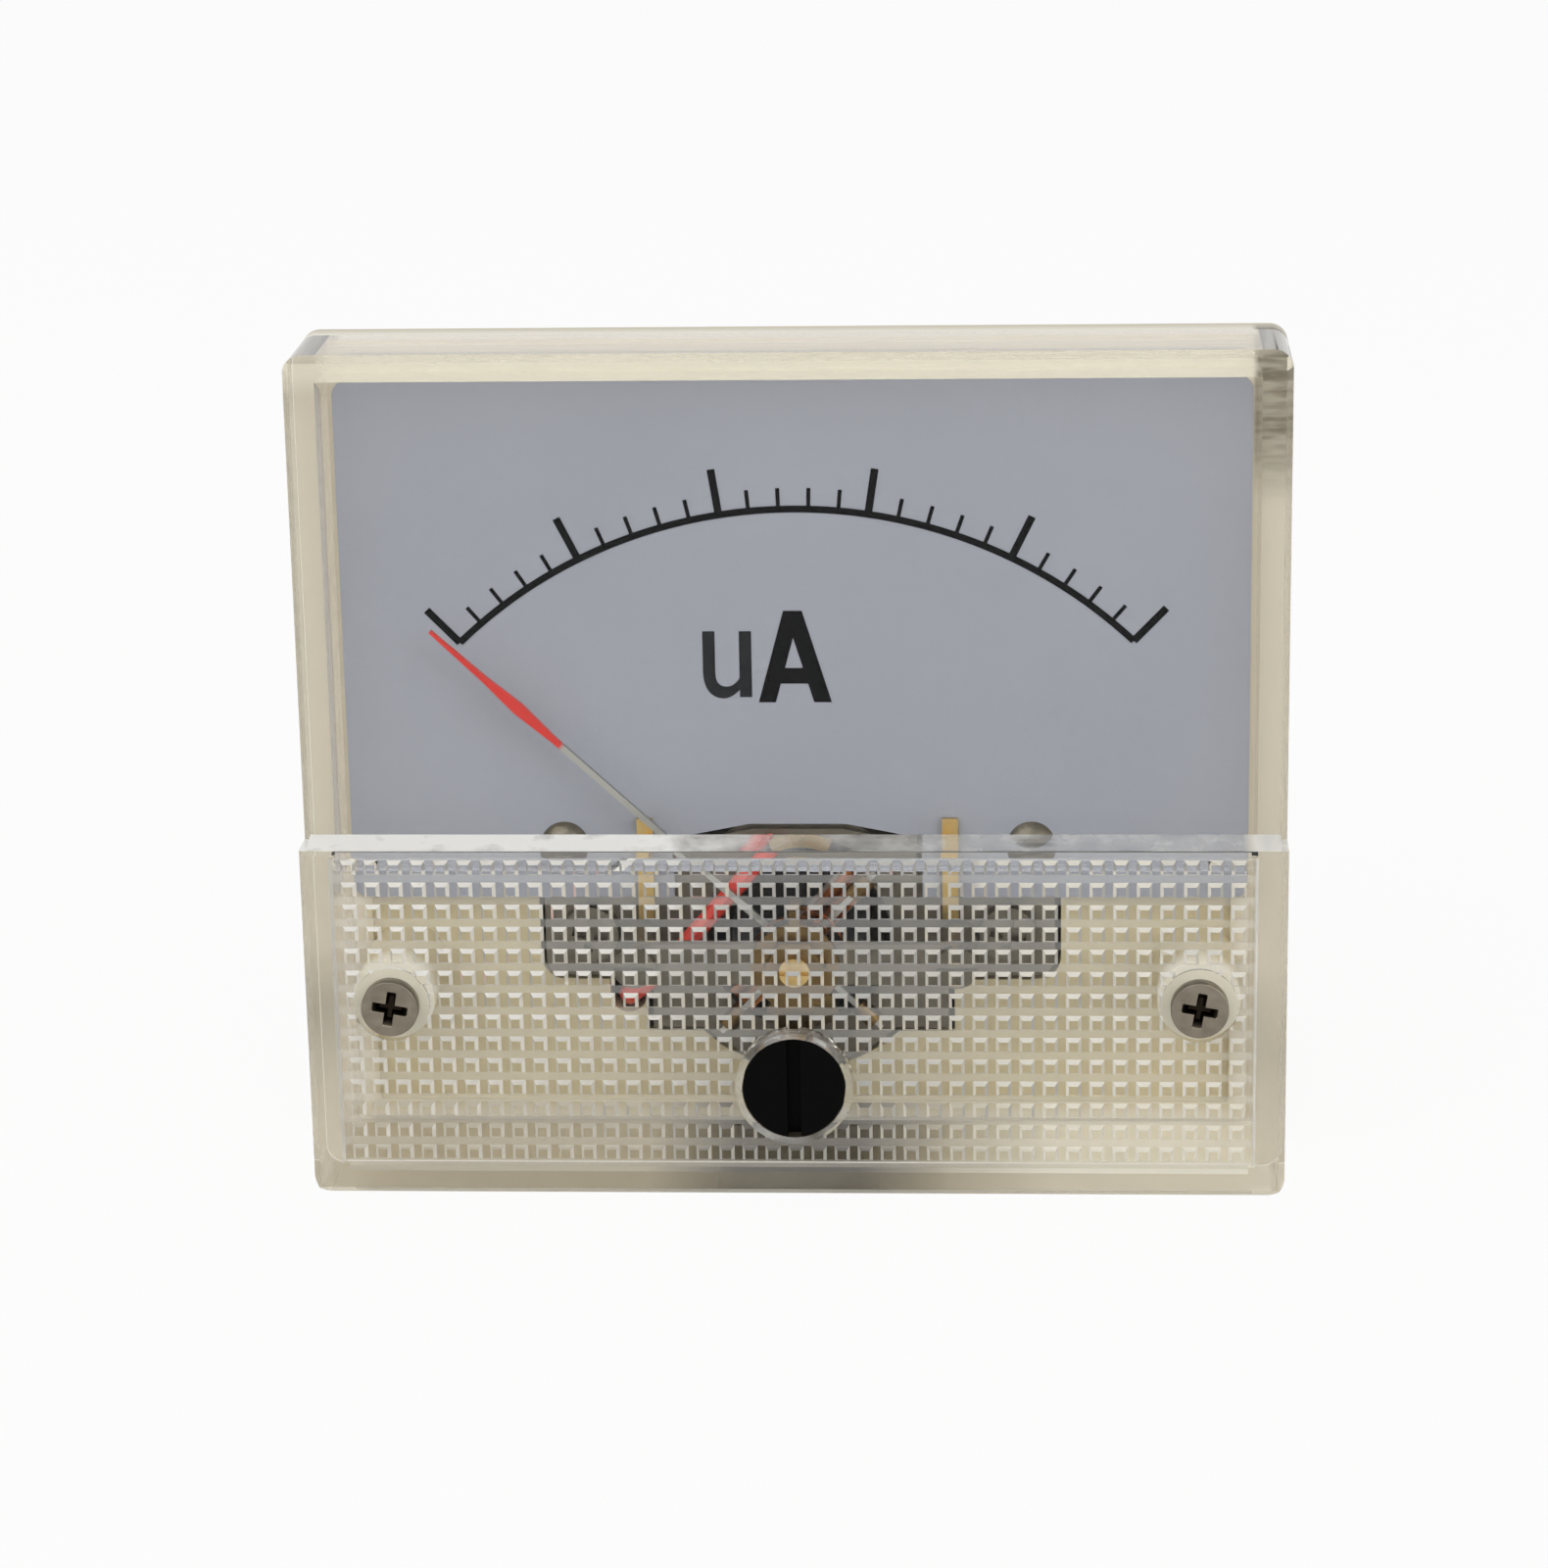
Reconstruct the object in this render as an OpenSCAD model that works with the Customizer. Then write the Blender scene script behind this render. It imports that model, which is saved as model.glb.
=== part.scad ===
// Panel microammeter: a clear front cover and an ivory base with a round body, around a
// moving-coil movement with core magnet.
// X runs right, Y into the panel and Z up. The origin is on the axis of the round body, in
// the plane of the flange's back, which is the face of the panel. Millimetres.

/* [Face] */
// Width of the cover and the flange
face_w = 64; // [62:0.5:68]
// Height of the cover and the flange
face_h = 55.8; // [55:0.2:60]
// Height of the round body's axis above the lower edge
axis_v = 26.9; // [26.5:0.1:28.5]
// Radius of the face's corners
face_corner_r = 1.2; // [0.8:0.1:2]

/* [Base] */
// Thickness of the flange
flange_t = 2; // [1.8:0.1:3]
// Outer radius of the round body
body_r = 24.5; // [24.2:0.1:24.9]
// Depth of the round body behind the panel face
body_d = 21.5; // [20:0.5:28]
// Wall of the round body
body_wall = 1.6; // [1.2:0.1:1.9]
// Thickness of the round body's back
back_t = 2; // [1.5:0.1:3]
// Height of the rim that carries the dial and centres the cover
rim_h = 0.4; // [0.3:0.1:0.8]
// Width of the rim
rim_w = 1.2; // [0.9:0.1:1.6]
// Radius of the pillars under the cover screws
cover_pillar_r = 2.7; // [2.5:0.1:3]
// Radius of the pillars that carry the movement
frame_pillar_r = 2.8; // [2.4:0.1:3.2]
// Gap between the flange's opening and the movement frame
opening_gap = 0.4; // [0.3:0.05:0.6]
// Distance of the notch for the red lead from the middle
lead_notch_x = 11.6; // [11.4:0.1:12]
// Height of the lower end of the notch for the red lead
lead_notch_v = 10.8; // [10.6:0.1:11]
// Radius of the notch for the red lead
lead_notch_r = 1.2; // [1:0.05:1.4]
// Radius of the raised seats round the terminals
terminal_seat_r = 6; // [5.5:0.1:7]
// Height of the raised seats round the terminals
terminal_seat_h = 1; // [0.6:0.1:1.6]

/* [Cover] */
// Depth of the cover from the flange to the front of the window
cover_d = 7; // [6.8:0.1:8.5]
// Thickness of the cover's side walls
cover_wall = 1.9; // [1.6:0.1:2.2]
// Thickness of the window
window_t = 1.8; // [1.4:0.1:2]
// How far the lower panel stands out from the window
step_out = 2.6; // [2.4:0.1:3.2]
// Thickness of the lower panel
panel_t = 2; // [1.8:0.1:2.1]
// Height of the ledge where it leaves the window
ledge_v = 24.1; // [23.8:0.1:25]
// Fall of the ledge from the window to its front edge
ledge_fall = 0.4; // [0.2:0.1:0.8]
// Thickness of the wall under the ledge
ledge_t = 1.7; // [1.4:0.1:2]
// Chamfer along the front edges
cover_edge = 0.45; // [0.2:0.05:0.7]
// Play between the cover and what it fits over
cover_play = 0.3; // [0.2:0.05:0.4]

/* [Pad field] */
// Columns of pads
pad_columns = 39; // [30:1:39]
// Rows of pads
pad_rows = 14; // [10:1:14]
// Smooth border beside the field
field_side = 2.4; // [2.2:0.1:3.5]
// Smooth border below the field
field_foot = 2.1; // [1.6:0.1:3]
// Smooth border between the field and the ledge's front edge
field_head = 0.4; // [0.3:0.1:1]
// Depth of the grooves between the pads
groove_d = 0.4; // [0.3:0.05:0.5]
// Width of a groove at its floor
groove_floor = 0.52; // [0.4:0.02:0.6]
// Width of a groove at the front
groove_top = 0.92; // [0.8:0.02:1]

/* [Cover screws and mounting studs] */
// Distance of the screws from the sides of the face
screw_inset = 5.65; // [5.4:0.05:6.2]
// Height of the screws above the lower edge
screw_v = 13.2; // [12:0.1:14]
// Radius of the screw heads
screw_head_r = 1.88; // [1.7:0.02:2.1]
// Thickness of the screw heads
screw_head_t = 1; // [0.8:0.1:1.2]
// Radius of the screw shanks
screw_r = 1.2; // [1:0.05:1.3]
// Length of the screws under the head
screw_l = 6; // [5:0.1:6.2]
// Radius of the flat lands under the screw heads
land_r = 2.5; // [2.3:0.05:2.7]
// Depth of the lands below the tops of the pads
land_d = 0.2; // [0.1:0.05:0.3]
// Half width of the cross recess in the screw heads
recess_half = 1.2; // [1:0.05:1.4]
// Width of the recess's arms
recess_w = 0.6; // [0.4:0.05:0.7]
// Depth of the recess
recess_d = 0.7; // [0.5:0.05:0.75]
// Turn of the recess from upright
recess_deg = 10; // [0:1:45]
// Radius of the mounting studs
stud_r = 1.5; // [1.4:0.05:1.6]
// Length of the mounting studs behind the flange
stud_l = 12; // [9:0.5:20]
// Radius of the neck that is moulded into the flange
stud_neck_r = 1.75; // [1.65:0.05:1.85]
// Radius of the head that is moulded into the flange
stud_head_r = 2.1; // [1.9:0.05:2.3]
// Thickness of the moulded-in head
stud_head_t = 0.9; // [0.6:0.1:1]
// Depth of the moulded-in head below the flange's back
stud_seat = 1.1; // [0.7:0.1:1.2]

/* [Zero adjuster] */
// Height of the adjuster above the lower edge
adjuster_v = 7.8; // [7.6:0.1:8]
// Radius of the slotted disc
disc_r = 3.35; // [3:0.05:3.5]
// How far the disc stands out from the lower panel
disc_out = 0.75; // [0.5:0.05:1]
// Depth of the disc's seat in the lower panel
disc_seat = 1; // [0.7:0.1:1.2]
// Width of the screwdriver slot
slot_w = 0.9; // [0.6:0.05:1.2]
// Depth of the screwdriver slot
slot_d = 0.8; // [0.5:0.1:1]
// Wall of the clear collar round the disc
collar_wall = 0.45; // [0.35:0.05:0.6]
// How far the collar stands out from the lower panel
collar_out = 0.8; // [0.5:0.05:1]
// Radius of the adjuster's shaft
adjuster_shaft_r = 1.5; // [1.45:0.05:1.8]
// Radius of the eccentric pin
pin_r = 0.45; // [0.4:0.05:0.48]
// Distance of the eccentric pin from the adjuster's axis
pin_off = 1; // [0.8:0.05:1]
// Outer radius of the clip on the shaft
clip_r = 2.6; // [2.2:0.1:2.8]
// Thickness of the clip
clip_t = 0.4; // [0.3:0.05:0.5]
// How far the shaft stands out behind the clip
shaft_out = 0.25; // [0.15:0.05:0.4]
// Play of turning pieces, all round
run_play = 0.06; // [0.04:0.01:0.1]

/* [Dial] */
// Thickness of the dial sheet
dial_t = 0.5; // [0.3:0.05:0.6]
// Gap between the dial's edge and the cover's walls
dial_gap = 0.4; // [0.25:0.05:0.8]
// Height of the dial's lower edge
dial_foot_v = 18; // [17.9:0.1:18.4]
// Gap between the dial's upper edge and the cover's wall
dial_head_gap = 0.8; // [0.5:0.05:1.5]
// Gap between the notch in the dial and the hump of the frame
notch_gap = 0.35; // [0.25:0.05:0.5]
// Radius of the dial's corners
dial_corner_r = 1; // [0.5:0.1:1.5]
// Distance of the dial screws from the middle
dial_screw_x = 15.46; // [15:0.02:16.5]
// Height of the dial screws
dial_screw_v = 21.7; // [21.4:0.1:22.4]
// Radius of the dial screws' domed heads
dial_head_r = 1.6; // [1.4:0.05:1.8]
// Height of the dial screws' domed heads
dial_head_t = 0.9; // [0.6:0.05:1.1]
// Radius of the dial screws' shanks
dial_screw_r = 0.9; // [0.7:0.05:1]
// Width of the slots in small screws
small_slot_w = 0.4; // [0.3:0.05:0.5]
// Depth of the slots in small screws
small_slot_d = 0.4; // [0.3:0.05:0.5]

/* [Movement] */
// Height of the pivot axis above the lower edge
pivot_v = 14.9; // [14.8:0.05:15]
// Thickness of the frame plate
frame_t = 1.6; // [1.3:0.1:1.8]
// Half width of the frame plate
frame_half = 17; // [16.6:0.1:17.4]
// Height of the frame plate's lower edge
frame_foot_v = 12.4; // [12.2:0.1:12.7]
// Height of the frame plate's upper edge
frame_head_v = 20.2; // [20:0.1:20.6]
// Half width of the block below the frame plate
block_half = 9.9; // [9.4:0.1:10.2]
// Height of the block's lower edge
block_foot_v = 8.7; // [8.4:0.1:9.2]
// Radius of the frame plate's corners
frame_corner_r = 1.2; // [0.8:0.1:1.6]
// Radius of the ears under the dial screws
ear_r = 2.5; // [2.2:0.1:2.7]
// Distance of the frame screws from the middle
frame_screw_x = 13.9; // [13.7:0.1:14.3]
// Height of the frame screws
frame_screw_v = 15.6; // [15.5:0.05:15.7]
// Radius of the frame screws' heads
frame_head_r = 1.9; // [1.7:0.05:2]
// Thickness of the frame screws' heads
frame_head_t = 1.2; // [0.9:0.1:1.4]
// Radius of the frame screws' shanks
frame_screw_r = 1.15; // [1:0.05:1.25]
// Length of the frame screws under the head
frame_screw_l = 8; // [6:0.5:10]
// Height of the hump's top
hump_v = 22.8; // [22.4:0.1:23.6]
// Half width of the hump's top
hump_top_half = 3; // [2:0.1:5]
// Half width of the hump's foot
hump_half = 7.9; // [7.2:0.1:8.4]
// Drop of the hump's sloping shoulders
hump_drop = 1; // [0.6:0.1:1.2]
// How far the hump reaches down over the frame plate
hump_root = 1; // [0.6:0.1:1.4]
// How far the hump stands out from the frame plate
hump_out = 0.5; // [0.3:0.05:0.5]
// Radius of the core magnet
core_r = 4.6; // [4.4:0.05:4.65]
// Inner radius of the yoke ring
yoke_in_r = 6.2; // [6.15:0.05:6.3]
// Outer radius of the yoke ring
yoke_r = 8.2; // [8:0.1:8.4]
// Length of the yoke ring and the core
yoke_l = 8; // [7:0.5:10]
// Half angle of the spacers between core and ring
spacer_half_deg = 23; // [18:1:24]
// Wall of the frame's collar round the yoke ring
yoke_collar_wall = 0.7; // [0.6:0.1:0.8]
// Length of the frame's collar round the yoke ring
yoke_collar_l = 3; // [2:0.5:5]

/* [Coil and pointer] */
// Gap between the core and the coil former
coil_gap = 0.3; // [0.25:0.05:0.35]
// Thickness of the former's strip
former_t = 0.3; // [0.2:0.05:0.3]
// Width of the former's strip
former_w = 2.4; // [2:0.1:2.4]
// Thickness of the winding
winding_t = 0.65; // [0.5:0.05:0.65]
// Width of the winding
winding_w = 2; // [1.6:0.1:2]
// Space between the core's ends and the former
coil_end_gap = 0.7; // [0.5:0.1:0.8]
// Radius of the pivot shafts
shaft_r = 0.4; // [0.3:0.05:0.45]
// Radius of the shafts' feet and spring collets
collet_r = 0.8; // [0.7:0.05:0.85]
// Length of the spring collets
collet_l = 0.5; // [0.4:0.05:0.55]
// Thickness of the shafts' feet
shaft_foot_t = 0.3; // [0.2:0.05:0.4]
// Half of the scale's arc
scale_half_deg = 47; // [45:0.5:47]
// Distance of the pointer in front of the dial
pointer_gap = 1.9; // [1.8:0.05:2]
// Thickness of the pointer
pointer_t = 0.4; // [0.3:0.05:0.5]
// Length of the pointer from the pivot
pointer_l = 32.3; // [30:0.1:33]
// Width of the pointer's wire
pointer_w = 0.4; // [0.3:0.05:0.45]
// Distance of the lance's foot from the pivot
lance_foot = 21.5; // [20:0.5:23]
// Distance of the lance's widest place from the pivot
lance_mid = 24.6; // [23.5:0.1:26]
// Greatest width of the lance
lance_w = 0.8; // [0.6:0.05:1]
// Distance of the place where the lance has run out into the tip
lance_neck = 27.6; // [26.5:0.1:29]
// Radius of the pointer's hub
hub_r = 1.4; // [1.2:0.1:1.6]
// Length of the balance arms
arm_l = 7.6; // [6.5:0.1:7.8]
// Radius of the balance weights
weight_r = 0.65; // [0.5:0.05:0.7]
// Length of the balance weights
weight_l = 1.6; // [1.2:0.1:1.8]
// Distance of the balance weights' inner ends from the pivot
weight_start = 5.4; // [5:0.1:5.6]

/* [Bridges and springs] */
// Distance of the front bridge in front of the frame
front_standoff = 4.4; // [4.3:0.05:4.5]
// Distance of the rear bridge behind the yoke ring
rear_standoff = 4.4; // [4.3:0.05:4.6]
// Thickness of the bridges
bridge_t = 0.8; // [0.6:0.05:0.85]
// Half height of the bridges' straps
bridge_half = 2.2; // [1.9:0.1:2.4]
// Distance of the front bridge's legs from the middle
front_leg_x = 10.6; // [10.4:0.05:10.7]
// Radius of the front bridge's legs
front_leg_r = 1.4; // [1.3:0.05:1.45]
// Radius of the rear bridge's legs
rear_leg_r = 0.95; // [0.9:0.05:1]
// Radius of the bridge screws' heads
bridge_head_r = 1.4; // [1.2:0.05:1.5]
// Thickness of the bridge screws' heads
bridge_head_t = 0.8; // [0.6:0.1:1]
// Radius of the bridge screws' shanks
bridge_screw_r = 0.6; // [0.5:0.05:0.65]
// Depth of the bridge screws in the frame and the yoke ring
bridge_grip = 1.4; // [1:0.1:1.6]
// Radius of the jewel screws
jewel_r = 1; // [0.9:0.05:1.1]
// Length of the jewel screws
jewel_l = 3; // [2.9:0.05:3.1]
// Depth of the bearing hole in a jewel screw
jewel_d = 0.6; // [0.5:0.05:0.7]
// End play of the pivots in the bearing holes
pivot_end_play = 0.15; // [0.1:0.05:0.2]
// Distance of the jewel screw's bearing end behind the bridge
jewel_reach = 0.5; // [0.45:0.05:0.55]
// Width across flats of the lock nuts
lock_af = 3.6; // [3.4:0.1:4]
// Thickness of the lock nuts
lock_t = 0.7; // [0.5:0.05:0.8]
// Radius of the bush that the zero lever turns on
bush_r = 1.75; // [1.6:0.05:1.8]
// Thickness of the zero lever
lever_t = 0.4; // [0.3:0.05:0.45]
// Radius of the zero lever's ring
lever_ring_r = 2.9; // [2.6:0.1:3.1]
// Width of the fork's prongs
prong_w = 0.6; // [0.5:0.05:0.7]
// How far the prongs reach past the eccentric pin's axis
prong_reach = 0.9; // [0.7:0.05:1]
// How far the fork is open behind the eccentric pin's axis
fork_depth = 0.75; // [0.6:0.05:0.9]
// Play of the fork beside the eccentric pin
fork_play = 0.1; // [0.08:0.01:0.12]
// Radius at which the hairsprings are held
spring_r = 3.5; // [3.4:0.05:3.6]
// Thickness of the tabs that hold the hairsprings
tab_t = 0.4; // [0.3:0.05:0.5]
// Width of the tabs that hold the hairsprings
tab_w = 0.7; // [0.5:0.1:1]
// Thickness of a hairspring's strip
spring_t = 0.12; // [0.1:0.01:0.15]
// Width of a hairspring's strip
spring_w = 0.4; // [0.3:0.05:0.45]
// Turns of a hairspring
spring_turns = 4; // [3:1:5]

/* [Pointer stops] */
// Distance of the stops' middle from the middle of the dial
stop_x = 10.1; // [10:0.05:10.3]
// Width of the stops
stop_w = 1.05; // [0.9:0.05:1.1]
// Thickness of the stops
stop_t = 0.4; // [0.3:0.05:0.5]
// Height of the stops' top
stop_v = 23.6; // [23.2:0.1:24.5]
// Height of the stops' foot
stop_foot_v = 16.6; // [16.5:0.05:16.8]
// Gap between the stops' foot and the dial's lower edge
stop_foot_gap = 0.3; // [0.2:0.05:0.5]
// Height of the stops' fingers
finger_h = 1; // [0.7:0.05:1.1]
// How far the fingers stand out in front of the pointer
finger_reach = 0.4; // [0.3:0.05:0.5]
// Angle that the pointer can travel past the ends of the scale
overtravel_deg = 3; // [2:0.5:3.5]
// Gap left between the pointer and a stop at the end of its travel
stop_play = 0.1; // [0.08:0.01:0.15]

/* [Terminals and leads] */
// Distance of the terminals from the middle
terminal_x = 11.5; // [10.5:0.1:12.5]
// Radius of the terminal studs
terminal_r = 2.5; // [2:0.1:2.5]
// Length of the terminal studs outside the body
terminal_l = 16; // [14:0.5:22]
// Width across flats of the terminal heads and nuts
terminal_af = 8; // [7:0.1:8.4]
// Thickness of the terminal heads
terminal_head_t = 2.5; // [2:0.1:3.5]
// Thickness of the terminal nuts
nut_t = 4; // [3:0.1:4.5]
// Radius of the washers
washer_r = 5; // [4.5:0.1:5.4]
// Thickness of the washers
washer_t = 1; // [0.8:0.1:1.2]
// Radius of the solder lugs
lug_r = 4.4; // [4.2:0.1:4.8]
// Thickness of the solder lugs
lug_t = 0.4; // [0.3:0.05:0.6]
// Length of the solder lugs' tails from the terminal's axis
lug_l = 9; // [8:0.1:9.4]
// Width of the solder lugs' tails
lug_w = 2.4; // [1.8:0.1:3]
// Radius of the leads
lead_r = 0.6; // [0.45:0.05:0.62]
// Space left at the bottom of blind holes
blind_gap = 0.3; // [0.2:0.05:0.5]
// Play of fastened pieces in their holes, all round
hole_play = 0.05; // [0.03:0.01:0.08]

/* [Hidden] */
$fn = 64;
eps = 0.01;
// How far cuts run past the faces that they open
cut = 1;

// Heights are measured from the lower edge of the face
function up(v) = v - axis_v;

// Places along Y, from the back of the flange forwards
flange_front = -flange_t;
window_front = flange_front - cover_d;
window_back = window_front + window_t;
panel_front = window_front - step_out;
panel_back = panel_front + panel_t;
dial_back = flange_front - rim_h;
dial_front = dial_back - dial_t;
frame_front = dial_back;
frame_back = frame_front + frame_t;
hump_front = frame_front - hump_out;
yoke_back = frame_back + yoke_l;
land_front = panel_front + land_d;
body_inside = body_d - back_t;

// Widths and places across the face
cover_in_w = face_w - 2 * cover_wall;
screw_x = face_w / 2 - screw_inset;
body_in_r = body_r - body_wall;
pivot_z = up(pivot_v);
ledge_front_v = ledge_v - ledge_fall;
dial_head_v = face_h - cover_wall - dial_head_gap;

// Coil, in the frame of the pivot with the pointer upright
former_in = core_r + coil_gap;
former_out = former_in + former_t;
winding_out = former_out + winding_t;
former_front = frame_back - coil_end_gap;
former_rear = yoke_back + coil_end_gap;
winding_front = former_front - former_t - winding_t;
winding_rear = former_rear + former_t + winding_t;

// Bridges, jewel screws, collets and springs
front_bridge_back = frame_front - front_standoff;
front_bridge_front = front_bridge_back - bridge_t;
rear_bridge_front = yoke_back + rear_standoff;
rear_bridge_back = rear_bridge_front + bridge_t;
bush_front = front_bridge_front - lever_t - 2 * run_play;
lever_back = front_bridge_front - run_play;
lever_front = lever_back - lever_t;
front_jewel_end = front_bridge_back + jewel_reach;
rear_jewel_end = rear_bridge_front - jewel_reach;
front_collet = front_jewel_end + run_play;
rear_collet = rear_jewel_end - run_play;
rear_leg_x = (yoke_in_r + yoke_r) / 2;

// Pointer and its stops
pointer_back = dial_front - pointer_gap;
pointer_front = pointer_back - pointer_t;
rest_deg = -scale_half_deg;
stop_deg = scale_half_deg + overtravel_deg;
finger_x = stop_x - stop_w / 2;
finger_v = pivot_v + finger_x / tan(stop_deg) - (pointer_w / 2 + stop_play) / sin(stop_deg);
finger_front = pointer_front - finger_reach;
stop_front = dial_front - hole_play - stop_t;

// Zero adjuster
collar_r = disc_r + run_play + collar_wall;
disc_front = panel_front - disc_out;
disc_back = panel_front + disc_seat;
clip_front = panel_back + run_play;
clip_back = clip_front + clip_t;
shaft_end = clip_back + shaft_out;
pin_end = lever_back;
fork_r = pivot_v - adjuster_v - pin_off;
fork_half = pin_r + fork_play;
fork_end = fork_r + prong_reach;

// Pad field
field_w = face_w - 2 * field_side;
field_foot_v = field_foot;
field_head_v = ledge_front_v - field_head;
field_h = field_head_v - field_foot_v;
column_pitch = field_w / pad_columns;
row_pitch = field_h / pad_rows;

// Terminal stack behind the body
seat_back = body_d + terminal_seat_h;
lug_front = body_inside - lug_t;

// Routes of the leads, from the movement to the solder lugs
red_route = [[-1.4, -3.52, -4.6], [-3.1, -3.5, -6.8], [-6.2, -3.45, -10.4], [-9, -3.4, -13.6],
    [-10.8, -3.15, -15.3], [-lead_notch_x, -1.9, up(lead_notch_v)], [-lead_notch_x, 0.4, up(lead_notch_v)],
    [-11, 3.2, -15.9], [-9.75, 6.4, -12.6], [-9.65, lug_front - 9, -8], [-10.2, lug_front - 6.8, -1],
    [-11.1, lug_front - 5.4, 5], [-terminal_x, lug_front - 3.4, 7.9], [-terminal_x, lug_front - 1.6, 7.9],
    [-terminal_x, lug_front, 7.9]];
black_start = rear_bridge_back + hole_play;
black_route = [[4.4, black_start, -12], [4.4, black_start + 0.8, -12], [4.5, black_start + 1.7, -11.6],
    [6, lug_front - 4.8, -8.4], [8.8, lug_front - 4.8, -2], [10.9, lug_front - 4.6, 5],
    [terminal_x, lug_front - 3.2, 7.9], [terminal_x, lug_front - 1.6, 7.9], [terminal_x, lug_front, 7.9]];
lead_sides = 8;
lead_steps = 3;

// Cylinder along Y
module rod(r, y0, y1) {
    translate([0, y0, 0]) rotate([-90, 0, 0]) cylinder(r = r, h = y1 - y0);
}

// Hexagonal prism along Y, by its width across flats
module hex_rod(af, y0, y1) {
    translate([0, y0, 0]) rotate([-90, 0, 0]) cylinder(d = af / cos(30), h = y1 - y0, $fn = 6);
}

// Ring along Y
module ring(r, hole_r, y0, y1) {
    difference() {
        rod(r, y0, y1);
        rod(hole_r, y0 - cut, y1 + cut);
    }
}

// Plate across Y, from a flat shape drawn in X and Z
module slab(y0, y1) {
    translate([0, y1, 0]) rotate([90, 0, 0]) linear_extrude(y1 - y0) children();
}

// Bar along X, from a flat shape drawn in Y and Z
module bar(width) {
    translate([-width / 2, 0, 0]) rotate([90, 0, 90]) linear_extrude(width) children();
}

// Flat rectangle with round corners, its lower edge at v0 and its upper edge at v1
module round_rect(w, v0, v1, r) {
    for (side = [-1, 1], v = [v0 + r, v1 - r])
        translate([side * (w / 2 - r), up(v)]) circle(r);
    translate([-w / 2, up(v0) + r]) square([w, v1 - v0 - 2 * r]);
    translate([-w / 2 + r, up(v0)]) square([w - 2 * r, v1 - v0]);
}

// Two pieces at equal distances from the axis
module either_side(x) {
    for (side = [-1, 1])
        translate([side * x, 0, 0]) children();
}

// Two pieces at equal distances from the middle and at one height
module pair(x, v) {
    translate([0, 0, up(v)]) either_side(x) children();
}

// Places a piece on the pivot axis, turned from upright
module on_pivot(deg = 0) {
    translate([0, 0, pivot_z]) rotate([0, deg, 0]) children();
}

// Cuts the cross of a screw's recess into a head whose front is at y0
module cross_recess(y0) {
    for (deg = [recess_deg, recess_deg + 90])
        rotate([0, deg, 0]) translate([-recess_half, y0 - cut, -recess_w / 2])
            cube([2 * recess_half, cut + recess_d, recess_w]);
}

// Cuts the slot of a small screw across a head whose front is at y0
module small_slot(y0, head_r) {
    translate([-head_r, y0 - cut, -small_slot_w / 2])
        cube([2 * head_r, cut + small_slot_d, small_slot_w]);
}

// Flange with its rim and pillars, and the round body behind it
module base() {
    color("#CFC7AC") difference() {
        union() {
            slab(flange_front, 0) round_rect(face_w, 0, face_h, face_corner_r);
            rod(body_r, flange_front / 2, body_d);
            base_rim();
            pair(screw_x, screw_v) rod(cover_pillar_r, panel_back, flange_front + eps);
            either_side(terminal_x) rod(terminal_seat_r, body_d - eps, seat_back);
        }
        rod(body_in_r, 0, body_inside);
        slab(dial_back - cut, cut) {
            frame_outline(opening_gap);
            hump_outline(opening_gap);
            lead_notch_outline();
        }
        on_pivot() rod(yoke_r + yoke_collar_wall + opening_gap, dial_back - cut, cut);
        pair(screw_x, screw_v)
            rod(screw_r + hole_play, panel_back - cut, land_front + screw_l + blind_gap);
        pair(screw_x, screw_v) stud_solid();
        either_side(terminal_x) rod(terminal_r + hole_play, body_inside - cut, seat_back + cut);
    }
    color("#CFC7AC") frame_pillars();
}

// Low rim inside the cover's walls
module base_rim() {
    rim_in = cover_in_w - 2 * cover_play - 2 * rim_w;
    v0 = cover_wall + cover_play;
    v1 = face_h - cover_wall - cover_play;
    difference() {
        slab(dial_back, flange_front) round_rect(cover_in_w - 2 * cover_play, v0, v1, face_corner_r / 2);
        slab(dial_back - cut, flange_front) round_rect(rim_in, v0 + rim_w, v1 - rim_w, face_corner_r / 4);
    }
}

// Outline of the notch that lets the red lead through the flange
module lead_notch_outline() {
    translate([-lead_notch_x, up(lead_notch_v)]) {
        circle(lead_notch_r);
        translate([-lead_notch_r, 0]) square([2 * lead_notch_r, frame_foot_v - lead_notch_v]);
    }
}

// Two pillars from the body's back to the movement frame
module frame_pillars() {
    pair(frame_screw_x, frame_screw_v) difference() {
        rod(frame_pillar_r, frame_back, body_inside);
        rod(frame_screw_r + hole_play, frame_back - cut, frame_front + frame_screw_l + blind_gap);
    }
}

// Clear cover: window, ledge, raised lower panel with pads, screw lands and collar
module front_cover() {
    color("#DDE3E4", 0.35) difference() {
        union() {
            difference() {
                cover_body();
                pad_grooves();
            }
            pair(screw_x, screw_v) rod(land_r, land_front - eps, panel_back);
            translate([0, 0, up(adjuster_v)]) rod(collar_r, panel_front - collar_out, panel_back);
        }
        pair(screw_x, screw_v) rod(land_r, panel_front - cut, land_front);
        pair(screw_x, screw_v) rod(screw_r + 2 * hole_play, land_front - cut, panel_back + cut);
        translate([0, 0, up(adjuster_v)]) {
            rod(disc_r + run_play, panel_front - collar_out - cut, disc_back);
            rod(adjuster_shaft_r + run_play, disc_back - cut, panel_back + cut);
        }
    }
}

// The cover's walls, without its details
module cover_body() {
    difference() {
        intersection() {
            slab(panel_front, flange_front) round_rect(face_w, 0, face_h, face_corner_r);
            bar(face_w) cover_profile();
        }
        bar(cover_in_w) cavity_profile();
        side_chamfer(window_front, ledge_front_v, face_h);
        side_chamfer(panel_front, 0, ledge_v);
    }
}

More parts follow.
